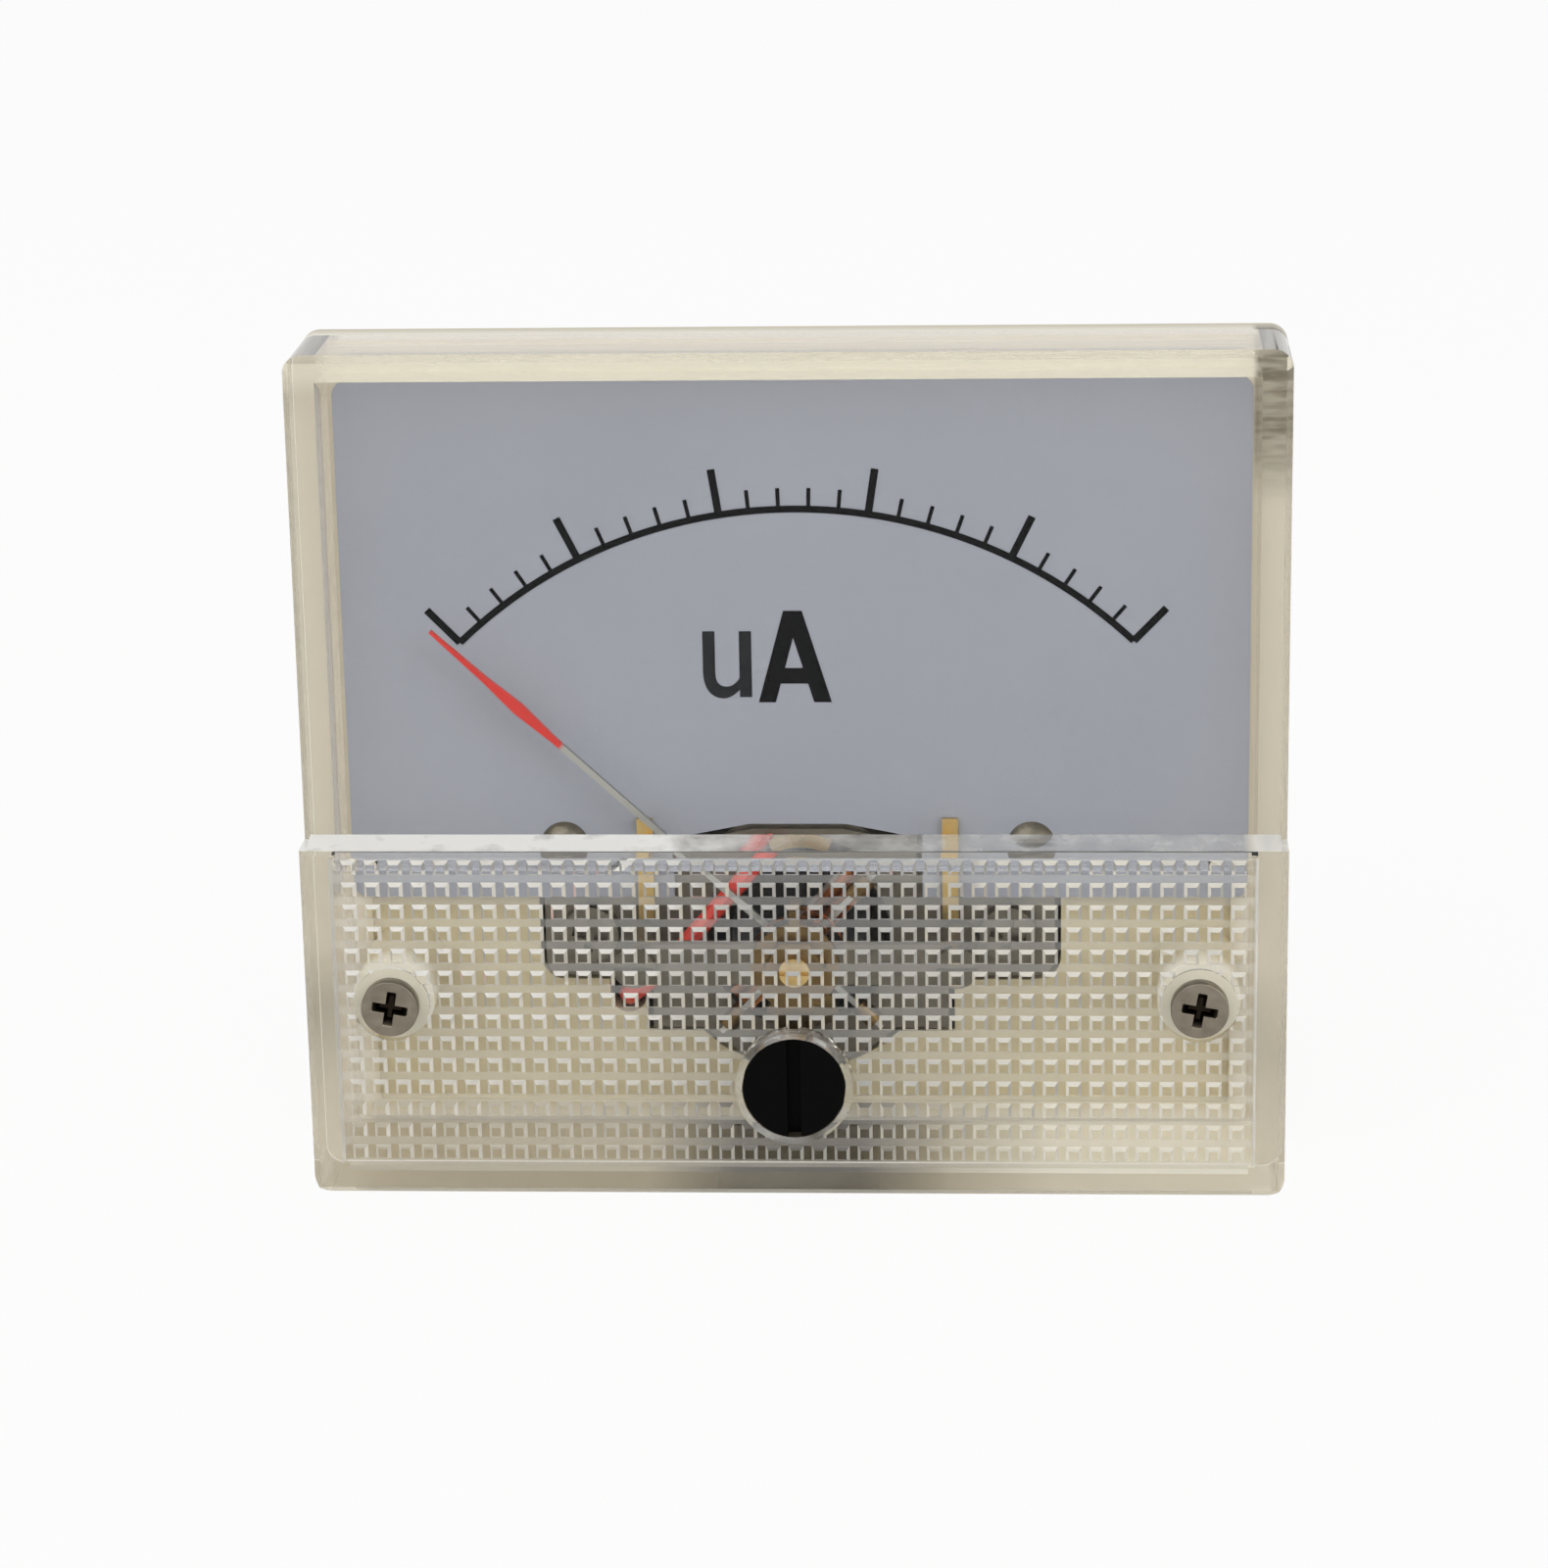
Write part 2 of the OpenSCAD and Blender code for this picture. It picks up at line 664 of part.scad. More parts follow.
// Section of the cover from the side
module cover_profile() {
    polygon([[flange_front, up(0)], [panel_front + cover_edge, up(0)], [panel_front, up(cover_edge)],
        [panel_front, up(ledge_front_v - cover_edge / 2)],
        [panel_front + cover_edge / 2, up(ledge_front_v)],
        [window_front, up(ledge_v)], [window_front, up(face_h - cover_edge)],
        [window_front + cover_edge, up(face_h)], [flange_front, up(face_h)]]);
}

// Section of the space inside the cover from the side
module cavity_profile() {
    polygon([[flange_front + cut, up(cover_wall)], [panel_back, up(cover_wall)],
        [panel_back, up(ledge_front_v - ledge_t)], [window_back, up(ledge_v - ledge_t)],
        [window_back, up(face_h - cover_wall)], [flange_front + cut, up(face_h - cover_wall)]]);
}

// Cuts the chamfers along the left and right front edges between two heights
module side_chamfer(front, v0, v1) {
    half = face_w / 2;
    for (side = [0, 1])
        mirror([side, 0, 0]) translate([0, 0, up(v0) - eps]) linear_extrude(v1 - v0 + 2 * eps)
            polygon([[half - cover_edge, front], [half - cover_edge, front - step_out - cut],
                [half + cut, front - step_out - cut], [half + cut, front + cover_edge],
                [half, front + cover_edge]]);
}

// Grooves that leave the pads standing
module pad_grooves() {
    for (i = [0:pad_columns])
        translate([-field_w / 2 + i * column_pitch, 0, up(field_foot_v)])
            linear_extrude(field_h) groove_profile();
    for (j = [0:pad_rows])
        translate([-field_w / 2, 0, up(field_foot_v) + j * row_pitch]) rotate([90, 0, 90])
            linear_extrude(field_w) rotate(-90) groove_profile();
}

// Section of one groove, open towards the front
module groove_profile() {
    polygon([[-groove_top / 2, panel_front - cut], [groove_top / 2, panel_front - cut],
        [groove_top / 2, panel_front], [groove_floor / 2, panel_front + groove_d],
        [-groove_floor / 2, panel_front + groove_d], [-groove_top / 2, panel_front]]);
}

// Flat-headed screws that hold the cover to the base
module cover_screws() {
    color("#B9BBBD") pair(screw_x, screw_v) difference() {
        union() {
            rod(screw_head_r, land_front - screw_head_t, land_front);
            rod(screw_r, land_front - eps, land_front + screw_l);
        }
        cross_recess(land_front - screw_head_t);
    }
}

// Slotted disc with its shaft through the cover and its eccentric pin
module zero_adjuster() {
    color("#1C1C1E") translate([0, 0, up(adjuster_v)]) difference() {
        union() {
            rod(disc_r, disc_front, disc_back - run_play);
            rod(adjuster_shaft_r, disc_front + slot_d, shaft_end);
            translate([0, 0, pin_off]) rod(pin_r, shaft_end - eps, pin_end);
        }
        translate([-slot_w / 2, disc_front - cut, -disc_r]) cube([slot_w, slot_d + cut, 2 * disc_r]);
    }
}

// Push-on clip that keeps the adjuster in the cover
module adjuster_clip() {
    color("#8F9499") translate([0, 0, up(adjuster_v)])
        ring(clip_r, adjuster_shaft_r, clip_front, clip_back);
}

// Dial sheet with the notch over the movement
module dial_plate() {
    dial_w = cover_in_w - 2 * dial_gap;
    color("#A3A6B2") difference() {
        slab(dial_front, dial_back) round_rect(dial_w, dial_foot_v, dial_head_v, dial_corner_r);
        slab(dial_front - cut, dial_back + cut) {
            hump_outline(notch_gap);
            translate([-hump_half - notch_gap, up(dial_foot_v) - cut])
                square([2 * (hump_half + notch_gap), frame_head_v - dial_foot_v + cut]);
        }
        pair(dial_screw_x, dial_screw_v)
            rod(dial_screw_r + 2 * hole_play, dial_front - cut, dial_back + cut);
    }
}

// Domed screws that hold the dial to the frame
module dial_screws() {
    dome_r = (dial_head_r * dial_head_r + dial_head_t * dial_head_t) / (2 * dial_head_t);
    color("#C3C6C9") pair(dial_screw_x, dial_screw_v) difference() {
        union() {
            intersection() {
                translate([0, dial_front - dial_head_t + dome_r, 0]) sphere(dome_r);
                rod(dial_head_r, dial_front - dial_head_t, dial_front);
            }
            rod(dial_screw_r, dial_front - eps, frame_back);
        }
        small_slot(dial_front - dial_head_t, dial_head_r);
    }
}

// Frame plate with ears, hump and the collar that holds the yoke ring
module movement_frame() {
    color("#6F6C6A") difference() {
        union() {
            slab(frame_front, frame_back) frame_outline();
            slab(hump_front, frame_back) hump_outline();
            on_pivot() rod(yoke_r + yoke_collar_wall, frame_front, frame_back + yoke_collar_l);
        }
        on_pivot() {
            rod(yoke_in_r, hump_front - cut, frame_back + cut);
            rod(yoke_r, frame_back, frame_back + yoke_collar_l + cut);
        }
        pair(dial_screw_x, dial_screw_v)
            rod(dial_screw_r + hole_play, frame_front - cut, frame_back + cut);
        pair(frame_screw_x, frame_screw_v)
            rod(frame_screw_r + hole_play, frame_front - cut, frame_back + cut);
        pair(front_leg_x, pivot_v)
            rod(bridge_screw_r + hole_play, frame_front - cut, frame_front + bridge_grip);
    }
}

// Outline of the frame plate with its ears and its lower block, grown by a gap
module frame_outline(gap = 0) {
    ear_half = frame_half - dial_screw_x + gap;
    round_rect(2 * (frame_half + gap), frame_foot_v - gap, frame_head_v + gap, frame_corner_r + gap);
    either_side(dial_screw_x) {
        translate([0, up(dial_screw_v)]) circle(ear_r + gap);
        translate([-ear_half, up(frame_head_v) - frame_corner_r])
            square([2 * ear_half, dial_screw_v - frame_head_v + frame_corner_r]);
    }
    translate([-block_half - gap, up(block_foot_v) - gap])
        square([2 * (block_half + gap), frame_foot_v - block_foot_v + frame_corner_r + gap]);
}

// Outline of the hump that shows in the dial's notch, grown by a gap
module hump_outline(gap = 0) {
    half = hump_half + gap;
    top_half = hump_top_half + gap / 2;
    polygon([[-half, up(frame_head_v - hump_root)], [half, up(frame_head_v - hump_root)],
        [half, up(hump_v - hump_drop) + gap], [top_half, up(hump_v) + gap],
        [-top_half, up(hump_v) + gap], [-half, up(hump_v - hump_drop) + gap]]);
}

// Screws that hold the frame to the base's pillars
module frame_screws() {
    color("#B9BBBD") pair(frame_screw_x, frame_screw_v) difference() {
        union() {
            rod(frame_head_r, frame_front - frame_head_t, frame_front);
            rod(frame_screw_r, frame_front - eps, frame_front + frame_screw_l);
        }
        cross_recess(frame_front - frame_head_t);
    }
}

// Soft-iron ring round the core
module yoke_ring() {
    color("#58595B") on_pivot() difference() {
        ring(yoke_r, yoke_in_r, frame_back, yoke_back);
        either_side(rear_leg_x)
            rod(bridge_screw_r + hole_play, yoke_back - bridge_grip, yoke_back + cut);
    }
}

// Cylindrical magnet
module core_magnet() {
    color("#4A4B4E") on_pivot() rod(core_r, frame_back, yoke_back);
}

// Two brass pieces that hold the core in the ring, above and below
module core_spacers() {
    reach = 2 * yoke_in_r;
    color("#B5913F") for (turn = [0, 180])
        on_pivot(turn) intersection() {
            ring(yoke_in_r, core_r, frame_back, yoke_back);
            slab(frame_back - cut, yoke_back + cut) polygon([[0, 0],
                [reach * sin(spacer_half_deg), reach * cos(spacer_half_deg)],
                [-reach * sin(spacer_half_deg), reach * cos(spacer_half_deg)]]);
        }
}

// One loop round the core, open inside
module coil_loop(half, front, rear, t, w) {
    difference() {
        translate([-half - t, front - t, -w / 2]) cube([2 * (half + t), rear - front + 2 * t, w]);
        translate([-half, front, -w]) cube([2 * half, rear - front, 2 * w]);
    }
}

// Aluminium strip that carries the winding
module coil_former() {
    color("#C9CBCD") on_pivot(rest_deg)
        coil_loop(former_in, former_front, former_rear, former_t, former_w);
}

// Copper winding on the former
module coil_winding() {
    color("#B5622F") on_pivot(rest_deg)
        coil_loop(former_out, former_front - former_t, former_rear + former_t, winding_t, winding_w);
}

// Front and rear shafts with their feet and spring collets
module pivot_shafts() {
    color("#D8DADC") on_pivot(rest_deg) {
        rod(collet_r, winding_front - shaft_foot_t, winding_front);
        rod(shaft_r, front_jewel_end - jewel_d + pivot_end_play, winding_front - shaft_foot_t + eps);
        rod(collet_r, front_collet, front_collet + collet_l);
        rod(collet_r, winding_rear, winding_rear + shaft_foot_t);
        rod(shaft_r, winding_rear + shaft_foot_t - eps, rear_jewel_end + jewel_d - pivot_end_play);
        rod(collet_r, rear_collet - collet_l, rear_collet);
    }
}

// Pointer with hub, wire, lance and balance arms
module pointer() {
    color("#B3262B") on_pivot(rest_deg) slab(pointer_front, pointer_back) difference() {
        union() {
            circle(hub_r);
            polygon([[-pointer_w / 2, 0], [pointer_w / 2, 0], [pointer_w / 2, lance_foot],
                [lance_w / 2, lance_mid], [pointer_w / 2, lance_neck], [pointer_w / 4, pointer_l],
                [-pointer_w / 4, pointer_l], [-pointer_w / 2, lance_neck], [-lance_w / 2, lance_mid],
                [-pointer_w / 2, lance_foot]]);
            for (deg = [90, 180, 270])
                rotate(deg) translate([-pointer_w / 2, 0]) square([pointer_w, arm_l]);
        }
        circle(shaft_r);
    }
}

// Coiled weights on the balance arms
module balance_weights() {
    middle = (pointer_front + pointer_back) / 2;
    color("#C9CBCD") on_pivot(rest_deg) translate([0, middle, 0]) for (deg = [90, 180, 270])
        rotate([0, deg, 0]) difference() {
            translate([0, 0, weight_start]) cylinder(r = weight_r, h = weight_l);
            translate([-pointer_w / 2, -pointer_t / 2, weight_start - cut])
                cube([pointer_w, pointer_t, weight_l + 2 * cut]);
        }
}

// Front bridge with its legs and the bush of the zero lever
module front_bridge() {
    color("#9C9C98") on_pivot() difference() {
        union() {
            slab(front_bridge_front, front_bridge_back)
                strap_outline(front_leg_x, front_leg_r);
            rod(bush_r, bush_front, front_bridge_back);
            either_side(front_leg_x) rod(front_leg_r, front_bridge_back - eps, frame_front);
        }
        rod(jewel_r, bush_front - cut, front_bridge_back + cut);
        either_side(front_leg_x)
            rod(bridge_screw_r + hole_play, front_bridge_front - cut, frame_front + cut);
    }
}

// Rear bridge with its legs and the tab that holds the rear hairspring
module rear_bridge() {
    color("#9C9C98") on_pivot() difference() {
        union() {
            slab(rear_bridge_front, rear_bridge_back) strap_outline(rear_leg_x, rear_leg_r);
            translate([-tab_w / 2, rear_bridge_front, 0])
                cube([tab_w, bridge_t, spring_r + tab_t]);
            translate([-tab_w / 2, rear_collet - collet_l, spring_r])
                cube([tab_w, rear_bridge_back - rear_collet + collet_l, tab_t]);
            either_side(rear_leg_x) rod(rear_leg_r, yoke_back, rear_bridge_front + eps);
        }
        rod(jewel_r, rear_bridge_front - cut, rear_bridge_back + cut);
        either_side(rear_leg_x) rod(bridge_screw_r + hole_play, yoke_back - cut, rear_bridge_back + cut);
    }
}

// Outline of a bridge's strap, narrow at the legs and wider round the bearing
module strap_outline(leg_x, leg_r) {
    either_side(leg_x) circle(leg_r);
    translate([-leg_x, -leg_r]) square([2 * leg_x, 2 * leg_r]);
    circle(bridge_half);
}

// Screws through the legs of both bridges
module bridge_screws() {
    color("#B9BBBD") on_pivot() {
        either_side(front_leg_x) bridge_screw(front_bridge_front, frame_front + bridge_grip);
        either_side(rear_leg_x) rotate([0, 0, 180])
            bridge_screw(-rear_bridge_back, bridge_grip - yoke_back);
    }
}

// Slotted screw whose head sits in front of y0, its shank down to y1
module bridge_screw(y0, y1) {
    difference() {
        union() {
            rod(bridge_head_r, y0 - bridge_head_t, y0);
            rod(bridge_screw_r, y0 - eps, y1);
        }
        small_slot(y0 - bridge_head_t, bridge_head_r);
    }
}

// Jewel screw with its slot at the front and its bearing hole behind, at y = 0
module jewel_screw() {
    difference() {
        rod(jewel_r, -jewel_l, 0);
        rod(shaft_r + run_play, -jewel_d, cut);
        small_slot(-jewel_l, jewel_r);
    }
}

// Bearing screw in the front bridge
module front_jewel_screw() {
    color("#C9A44A") on_pivot() translate([0, front_jewel_end, 0]) jewel_screw();
}

// Bearing screw in the rear bridge
module rear_jewel_screw() {
    color("#C9A44A") on_pivot() translate([0, rear_jewel_end, 0]) rotate([0, 0, 180]) jewel_screw();
}

// Nuts that lock both jewel screws
module lock_nuts() {
    color("#B5913F") on_pivot() difference() {
        union() {
            hex_rod(lock_af, bush_front - lock_t, bush_front);
            hex_rod(lock_af, rear_bridge_back, rear_bridge_back + lock_t);
        }
        rod(jewel_r, bush_front - lock_t - cut, rear_bridge_back + lock_t + cut);
    }
}

// Lever from the eccentric pin to the outer end of the front hairspring
module zero_lever() {
    prong_half = fork_half + prong_w;
    color("#B5913F") on_pivot() {
        slab(lever_front, lever_back) difference() {
            union() {
                circle(lever_ring_r);
                translate([-prong_half, -fork_end]) square([2 * prong_half, fork_end]);
                translate([-tab_w / 2, 0]) square([tab_w, spring_r + tab_t]);
            }
            circle(bush_r + run_play);
            translate([-fork_half, -fork_end - cut])
                square([2 * fork_half, prong_reach + fork_depth + cut]);
        }
        translate([-tab_w / 2, lever_front, spring_r])
            cube([tab_w, front_collet + collet_l - lever_front, tab_t]);
    }
}

// Flat spiral from the collet to the tab above the pivot
module hairspring(y0) {
    steps = spring_turns * 24;
    inner = collet_r + run_play + spring_t / 2;
    outer = spring_r - spring_t / 2;
    function spiral(i, side) = let (r = inner + (outer - inner) * i / steps + side * spring_t / 2,
        deg = 90 + 360 * spring_turns * i / steps) [r * cos(deg), r * sin(deg)];
    on_pivot() slab(y0, y0 + spring_w)
        polygon([for (i = [0:steps]) spiral(i, 1), for (i = [steps:-1:0]) spiral(i, -1)]);
}

// Hairspring behind the front bridge
module front_hairspring() {
    color("#C58B4A") hairspring(front_collet + (collet_l - spring_w) / 2);
}

// Hairspring in front of the rear bridge
module rear_hairspring() {
    color("#C58B4A") hairspring(rear_collet - (collet_l + spring_w) / 2);
}

// Brass strips in front of the dial, their feet on the frame below it, with the fingers that
// stop the pointer
module pointer_stops() {
    foot_h = dial_foot_v - stop_foot_gap - stop_foot_v;
    color("#C9A227") for (side = [0, 1])
        mirror([side, 0, 0]) {
            translate([finger_x, stop_front, up(stop_foot_v)])
                cube([stop_w, stop_t, stop_v - stop_foot_v]);
            translate([finger_x, stop_front, up(stop_foot_v)])
                cube([stop_w, frame_front - stop_front, foot_h]);
            translate([finger_x, finger_front, up(finger_v - finger_h)])
                cube([stop_w / 2, stop_front + stop_t - finger_front, finger_h]);
        }
}

// One mounting stud with its moulded-in head
module stud_solid() {
    rod(stud_head_r, -stud_seat - stud_head_t, -stud_seat);
    rod(stud_neck_r, -stud_seat - eps, 0);
    rod(stud_r, -eps, stud_l);
}

// Threaded studs on the flange's back
module mounting_studs() {
    color("#B9BBBD") pair(screw_x, screw_v) stud_solid();
}

// Threaded terminals with hexagonal heads inside the body
module terminal_studs() {
    color("#C9A44A") either_side(terminal_x) {
        hex_rod(terminal_af, lug_front - terminal_head_t, lug_front);
        rod(terminal_r, lug_front - eps, seat_back + terminal_l);
    }
}

// Washers under both nuts of each terminal
module terminal_washers() {
    color("#C3C6C9") either_side(terminal_x) for (i = [0, 1])
        translate([0, seat_back + i * (washer_t + nut_t), 0])
            ring(washer_r, terminal_r + hole_play, 0, washer_t);
}

// Fixing nut and wire nut of each terminal
module terminal_nuts() {
    color("#C3C6C9") either_side(terminal_x) for (i = [0, 1])
        translate([0, seat_back + washer_t + i * (washer_t + nut_t), 0]) difference() {
            hex_rod(terminal_af, 0, nut_t);
            rod(terminal_r, -cut, nut_t + cut);
        }
}

// Lugs under the terminals' heads, with tails for the leads
module solder_lugs() {
    color("#C3C6C9") either_side(terminal_x) slab(lug_front, body_inside) difference() {
        union() {
            circle(lug_r);
            translate([-lug_w / 2, 0]) square([lug_w, lug_l]);
        }
        circle(terminal_r + hole_play);
    }
}

// Point of a smooth route at a place between two of its points
function route_point(route, i, t) =
    let (n = len(route), a = route[max(i - 1, 0)], b = route[i], c = route[min(i + 1, n - 1)],
        d = route[min(i + 2, n - 1)])
    0.5 * (2 * b + t * (c - a) + t * t * (2 * a - 5 * b + 4 * c - d)
        + t * t * t * (3 * b - a - 3 * c + d));

// Tube swept along a smooth route
module lead(route) {
    line = [for (i = [0:len(route) - 2], k = [0:lead_steps - 1]) route_point(route, i, k / lead_steps),
        route[len(route) - 1]];
    rings = len(line);
    across = [1, 0, -1];
    points = [for (i = [0:rings - 1])
        let (along = line[min(i + 1, rings - 1)] - line[max(i - 1, 0)],
            u = cross(along, across) / norm(cross(along, across)),
            w = cross(along, u) / norm(cross(along, u)))
        for (k = [0:lead_sides - 1])
            line[i] + lead_r * (u * cos(360 * k / lead_sides) + w * sin(360 * k / lead_sides))];
    sides = [for (i = [0:rings - 2], k = [0:lead_sides - 1])
        let (next = (k + 1) % lead_sides)
        [(i + 1) * lead_sides + k, (i + 1) * lead_sides + next, i * lead_sides + next, i * lead_sides + k]];
    ends = [[for (k = [0:lead_sides - 1]) k],
        [for (k = [lead_sides - 1:-1:0]) (rings - 1) * lead_sides + k]];
    polyhedron(points, concat(sides, ends));
}

// Lead from the left terminal to the movement frame
module red_lead() {
    color("#C23B32") lead(red_route);
}

// Lead from the right terminal to the rear bridge
module black_lead() {
    color("#222224") lead(black_route);
}

base();
front_cover();
cover_screws();
zero_adjuster();
adjuster_clip();
dial_plate();
dial_screws();
movement_frame();
frame_screws();
yoke_ring();
core_magnet();
core_spacers();
coil_former();
coil_winding();
pivot_shafts();
pointer();
balance_weights();
front_bridge();
rear_bridge();
bridge_screws();
front_jewel_screw();
rear_jewel_screw();
lock_nuts();
zero_lever();
front_hairspring();
rear_hairspring();
pointer_stops();
mounting_studs();
terminal_studs();
terminal_washers();
terminal_nuts();
solder_lugs();
red_lead();
black_lead();
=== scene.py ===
"""Panel microammeter with a clear front cover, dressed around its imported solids.

The sections follow the meter as it is put together, from the moulded base to the cover's screws.
Lengths are in metres in the part's own frame: X right, Y into the panel, Z up.
"""
import math

import bmesh
import bpy
from mathutils import Matrix, Vector


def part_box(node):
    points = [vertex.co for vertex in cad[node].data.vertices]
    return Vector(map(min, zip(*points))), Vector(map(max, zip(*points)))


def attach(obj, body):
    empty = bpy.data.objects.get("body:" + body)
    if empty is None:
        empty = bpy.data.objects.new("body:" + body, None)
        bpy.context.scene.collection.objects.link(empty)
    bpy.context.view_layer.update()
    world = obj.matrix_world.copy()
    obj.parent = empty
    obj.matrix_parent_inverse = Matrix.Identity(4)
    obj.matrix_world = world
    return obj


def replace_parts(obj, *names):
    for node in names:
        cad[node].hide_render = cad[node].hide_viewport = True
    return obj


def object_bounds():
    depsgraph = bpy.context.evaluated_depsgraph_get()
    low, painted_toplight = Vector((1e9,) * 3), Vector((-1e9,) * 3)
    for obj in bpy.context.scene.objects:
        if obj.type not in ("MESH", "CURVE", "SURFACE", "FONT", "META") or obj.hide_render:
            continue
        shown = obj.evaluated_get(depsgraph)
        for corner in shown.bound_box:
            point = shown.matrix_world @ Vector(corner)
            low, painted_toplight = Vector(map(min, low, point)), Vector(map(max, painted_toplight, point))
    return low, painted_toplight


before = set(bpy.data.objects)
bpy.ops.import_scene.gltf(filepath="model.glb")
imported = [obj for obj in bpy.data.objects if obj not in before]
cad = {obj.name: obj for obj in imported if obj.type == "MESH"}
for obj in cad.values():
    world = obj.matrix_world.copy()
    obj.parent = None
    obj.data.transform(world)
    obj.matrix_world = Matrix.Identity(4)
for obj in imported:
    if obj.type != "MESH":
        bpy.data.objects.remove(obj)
cad_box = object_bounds()
scene = bpy.context.scene
scene.view_settings.view_transform = "Standard"


# Viewpoint: a long lens a little above the meter and to its right, turned about one degree
# about its own axis, so that the face fills the middle of the picture.
def placed(name, data):
    """A new object in the scene."""
    made = bpy.data.objects.new(name, data)
    scene.collection.objects.link(made)
    return made


MM = 0.001
eye = Vector((17.153, -294.653, 86.751)) * MM
eye_right = Vector((0.9981, 0.0584, -0.0183))
eye_up = Vector((0.0007, 0.2887, 0.9574))
view = bpy.data.cameras.new("photo_view")
view.sensor_fit = "HORIZONTAL"
view.sensor_width = 36
view.lens = 107.39
turn = Matrix((eye_right, eye_up, eye_right.cross(eye_up))).transposed().to_4x4()
camera = placed("photo_view", view)
camera.matrix_world = Matrix.Translation(eye) @ turn
scene.camera = camera


# Base: flange, rim, pillars and round body in one ivory moulding. It is injection moulded in
# ABS, and its back lies on the panel while the round body goes through the panel's hole.
def add(tree, kind, inputs=(), **settings):
    """One node with its settings; each input takes a value or the socket that feeds it.

    A Mix node has its colours at inputs 6 and 7, and their mixture at output 2.
    """
    node = tree.nodes.new(kind)
    for name, value in settings.items():
        setattr(node, name, value)
    for name, value in dict(inputs).items():
        if isinstance(value, bpy.types.NodeSocket):
            tree.links.new(value, node.inputs[name])
        else:
            node.inputs[name].default_value = value
    return node.outputs


def begin(name):
    """An empty material, its node tree and the socket of its Object coordinates."""
    material = bpy.data.materials.new(name)
    material.use_nodes = True
    material.node_tree.nodes.clear()
    return material, material.node_tree, add(material.node_tree, "ShaderNodeTexCoord")["Object"]


def srgb(code):
    """Linear colour of an sRGB hex value."""
    parts = [int(code[i:i + 2], 16) / 255 for i in (1, 3, 5)]
    return (*(c / 12.92 if c < 0.04045 else ((c + 0.055) / 1.055) ** 2.4 for c in parts), 1)


def off_screws(tree, place):
    """The distance from the nearer of the two screw axes, in the meter's lower half."""
    flat = add(tree, "ShaderNodeVectorMath", {0: place, 1: (1, 0, 1)}, operation="MULTIPLY")
    flat = add(tree, "ShaderNodeVectorMath", {0: flat[0]}, operation="ABSOLUTE")
    axis = (screw_axis.x, 0, -screw_axis.z)
    return add(tree, "ShaderNodeVectorMath", {0: flat[0], 1: axis}, operation="DISTANCE")["Value"]


# Ivory ABS from a spark-eroded mould: satin, with faint flow clouds and a fine dull grain.
screw_axis = Vector((26.35, 0, -13.7)) * MM
ivory_abs, tree, place = begin("ivory_abs_moulded")
along = add(tree, "ShaderNodeSeparateXYZ", {0: place})
cloud = add(tree, "ShaderNodeTexNoise", {"Vector": place, "Scale": 1 / (9 * MM), "Detail": 3})
grain = add(tree, "ShaderNodeTexNoise", {"Vector": place, "Scale": 1 / (0.3 * MM), "Detail": 2})
gloss = add(tree, "ShaderNodeMapRange", {"Value": grain["Fac"], "To Min": 0.36, "To Max": 0.52})
skin = add(tree, "ShaderNodeBump", {"Height": grain["Fac"], "Strength": 0.2, "Distance": 0.02 * MM})
tone = add(tree, "ShaderNodeMix", {0: cloud["Fac"], 6: srgb("#CDC3A7"), 7: srgb("#BFB392")},
           data_type="RGBA")

# Daylight has bleached the front of its rim, and the rim is painted paler towards the top as light falling
# from above.
base_low, base_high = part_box("base")
middle, half = (base_low + base_high) / 2, (base_high - base_low) / 2
rim_w, rim_front = 2.6 * MM, -1.8 * MM
inward = add(tree, "ShaderNodeVectorMath", {0: place, 1: middle}, operation="SUBTRACT")
inward = add(tree, "ShaderNodeVectorMath", {0: inward[0]}, operation="ABSOLUTE")
inward = add(tree, "ShaderNodeVectorMath", {0: inward[0], 1: half}, operation="SUBTRACT")
inward = add(tree, "ShaderNodeSeparateXYZ", {0: inward[0]})
edge = add(tree, "ShaderNodeMath", {0: inward["X"], 1: inward["Z"]}, operation="MAXIMUM")
rim = add(tree, "ShaderNodeMapRange", {
    "Value": edge[0], "From Min": -rim_w - 1 * MM, "From Max": -rim_w})
lit = add(tree, "ShaderNodeMapRange", {"Value": along["Y"], "From Min": 0, "From Max": rim_front})
rim = add(tree, "ShaderNodeMath", {0: rim[0], 1: lit[0]}, operation="MULTIPLY")
# Painted light: the rim's front turns paler towards the top, as if lit from above.
painted_toplight = add(tree, "ShaderNodeMapRange", {
    "Value": along["Z"], "From Min": base_high.z - 3.5 * MM, "From Max": base_high.z - 2 * MM})
pale = add(tree, "ShaderNodeMix", {0: painted_toplight[0], 6: srgb("#DBD5C7"), 7: srgb("#F4F0E2")}, data_type="RGBA")
tone = add(tree, "ShaderNodeMix", {0: rim[0], 6: tone[2], 7: pale[2]}, data_type="RGBA")

# Painted shade at the upper right: a grey streak, in ribs that lie across the rim, stands in for a dark
# reflection seen through the cover's wall.
right = add(tree, "ShaderNodeMapRange", {"Value": along["X"], "From Min": 29.6 * MM, "From Max": 30 * MM})
painted_rim_shade = add(tree, "ShaderNodeMapRange", {"Value": along["Z"], "From Min": 18 * MM, "From Max": 22.5 * MM})
ribs = add(tree, "ShaderNodeMapping", {"Vector": place, "Scale": (0.15, 0.15, 1)})
ribs = add(tree, "ShaderNodeTexNoise", {"Vector": ribs[0], "Scale": 1 / (0.6 * MM), "Detail": 3})
ribs = add(tree, "ShaderNodeMapRange", {
    "Value": ribs["Fac"], "From Min": 0.4, "From Max": 0.6, "To Min": 0.55, "To Max": 1})
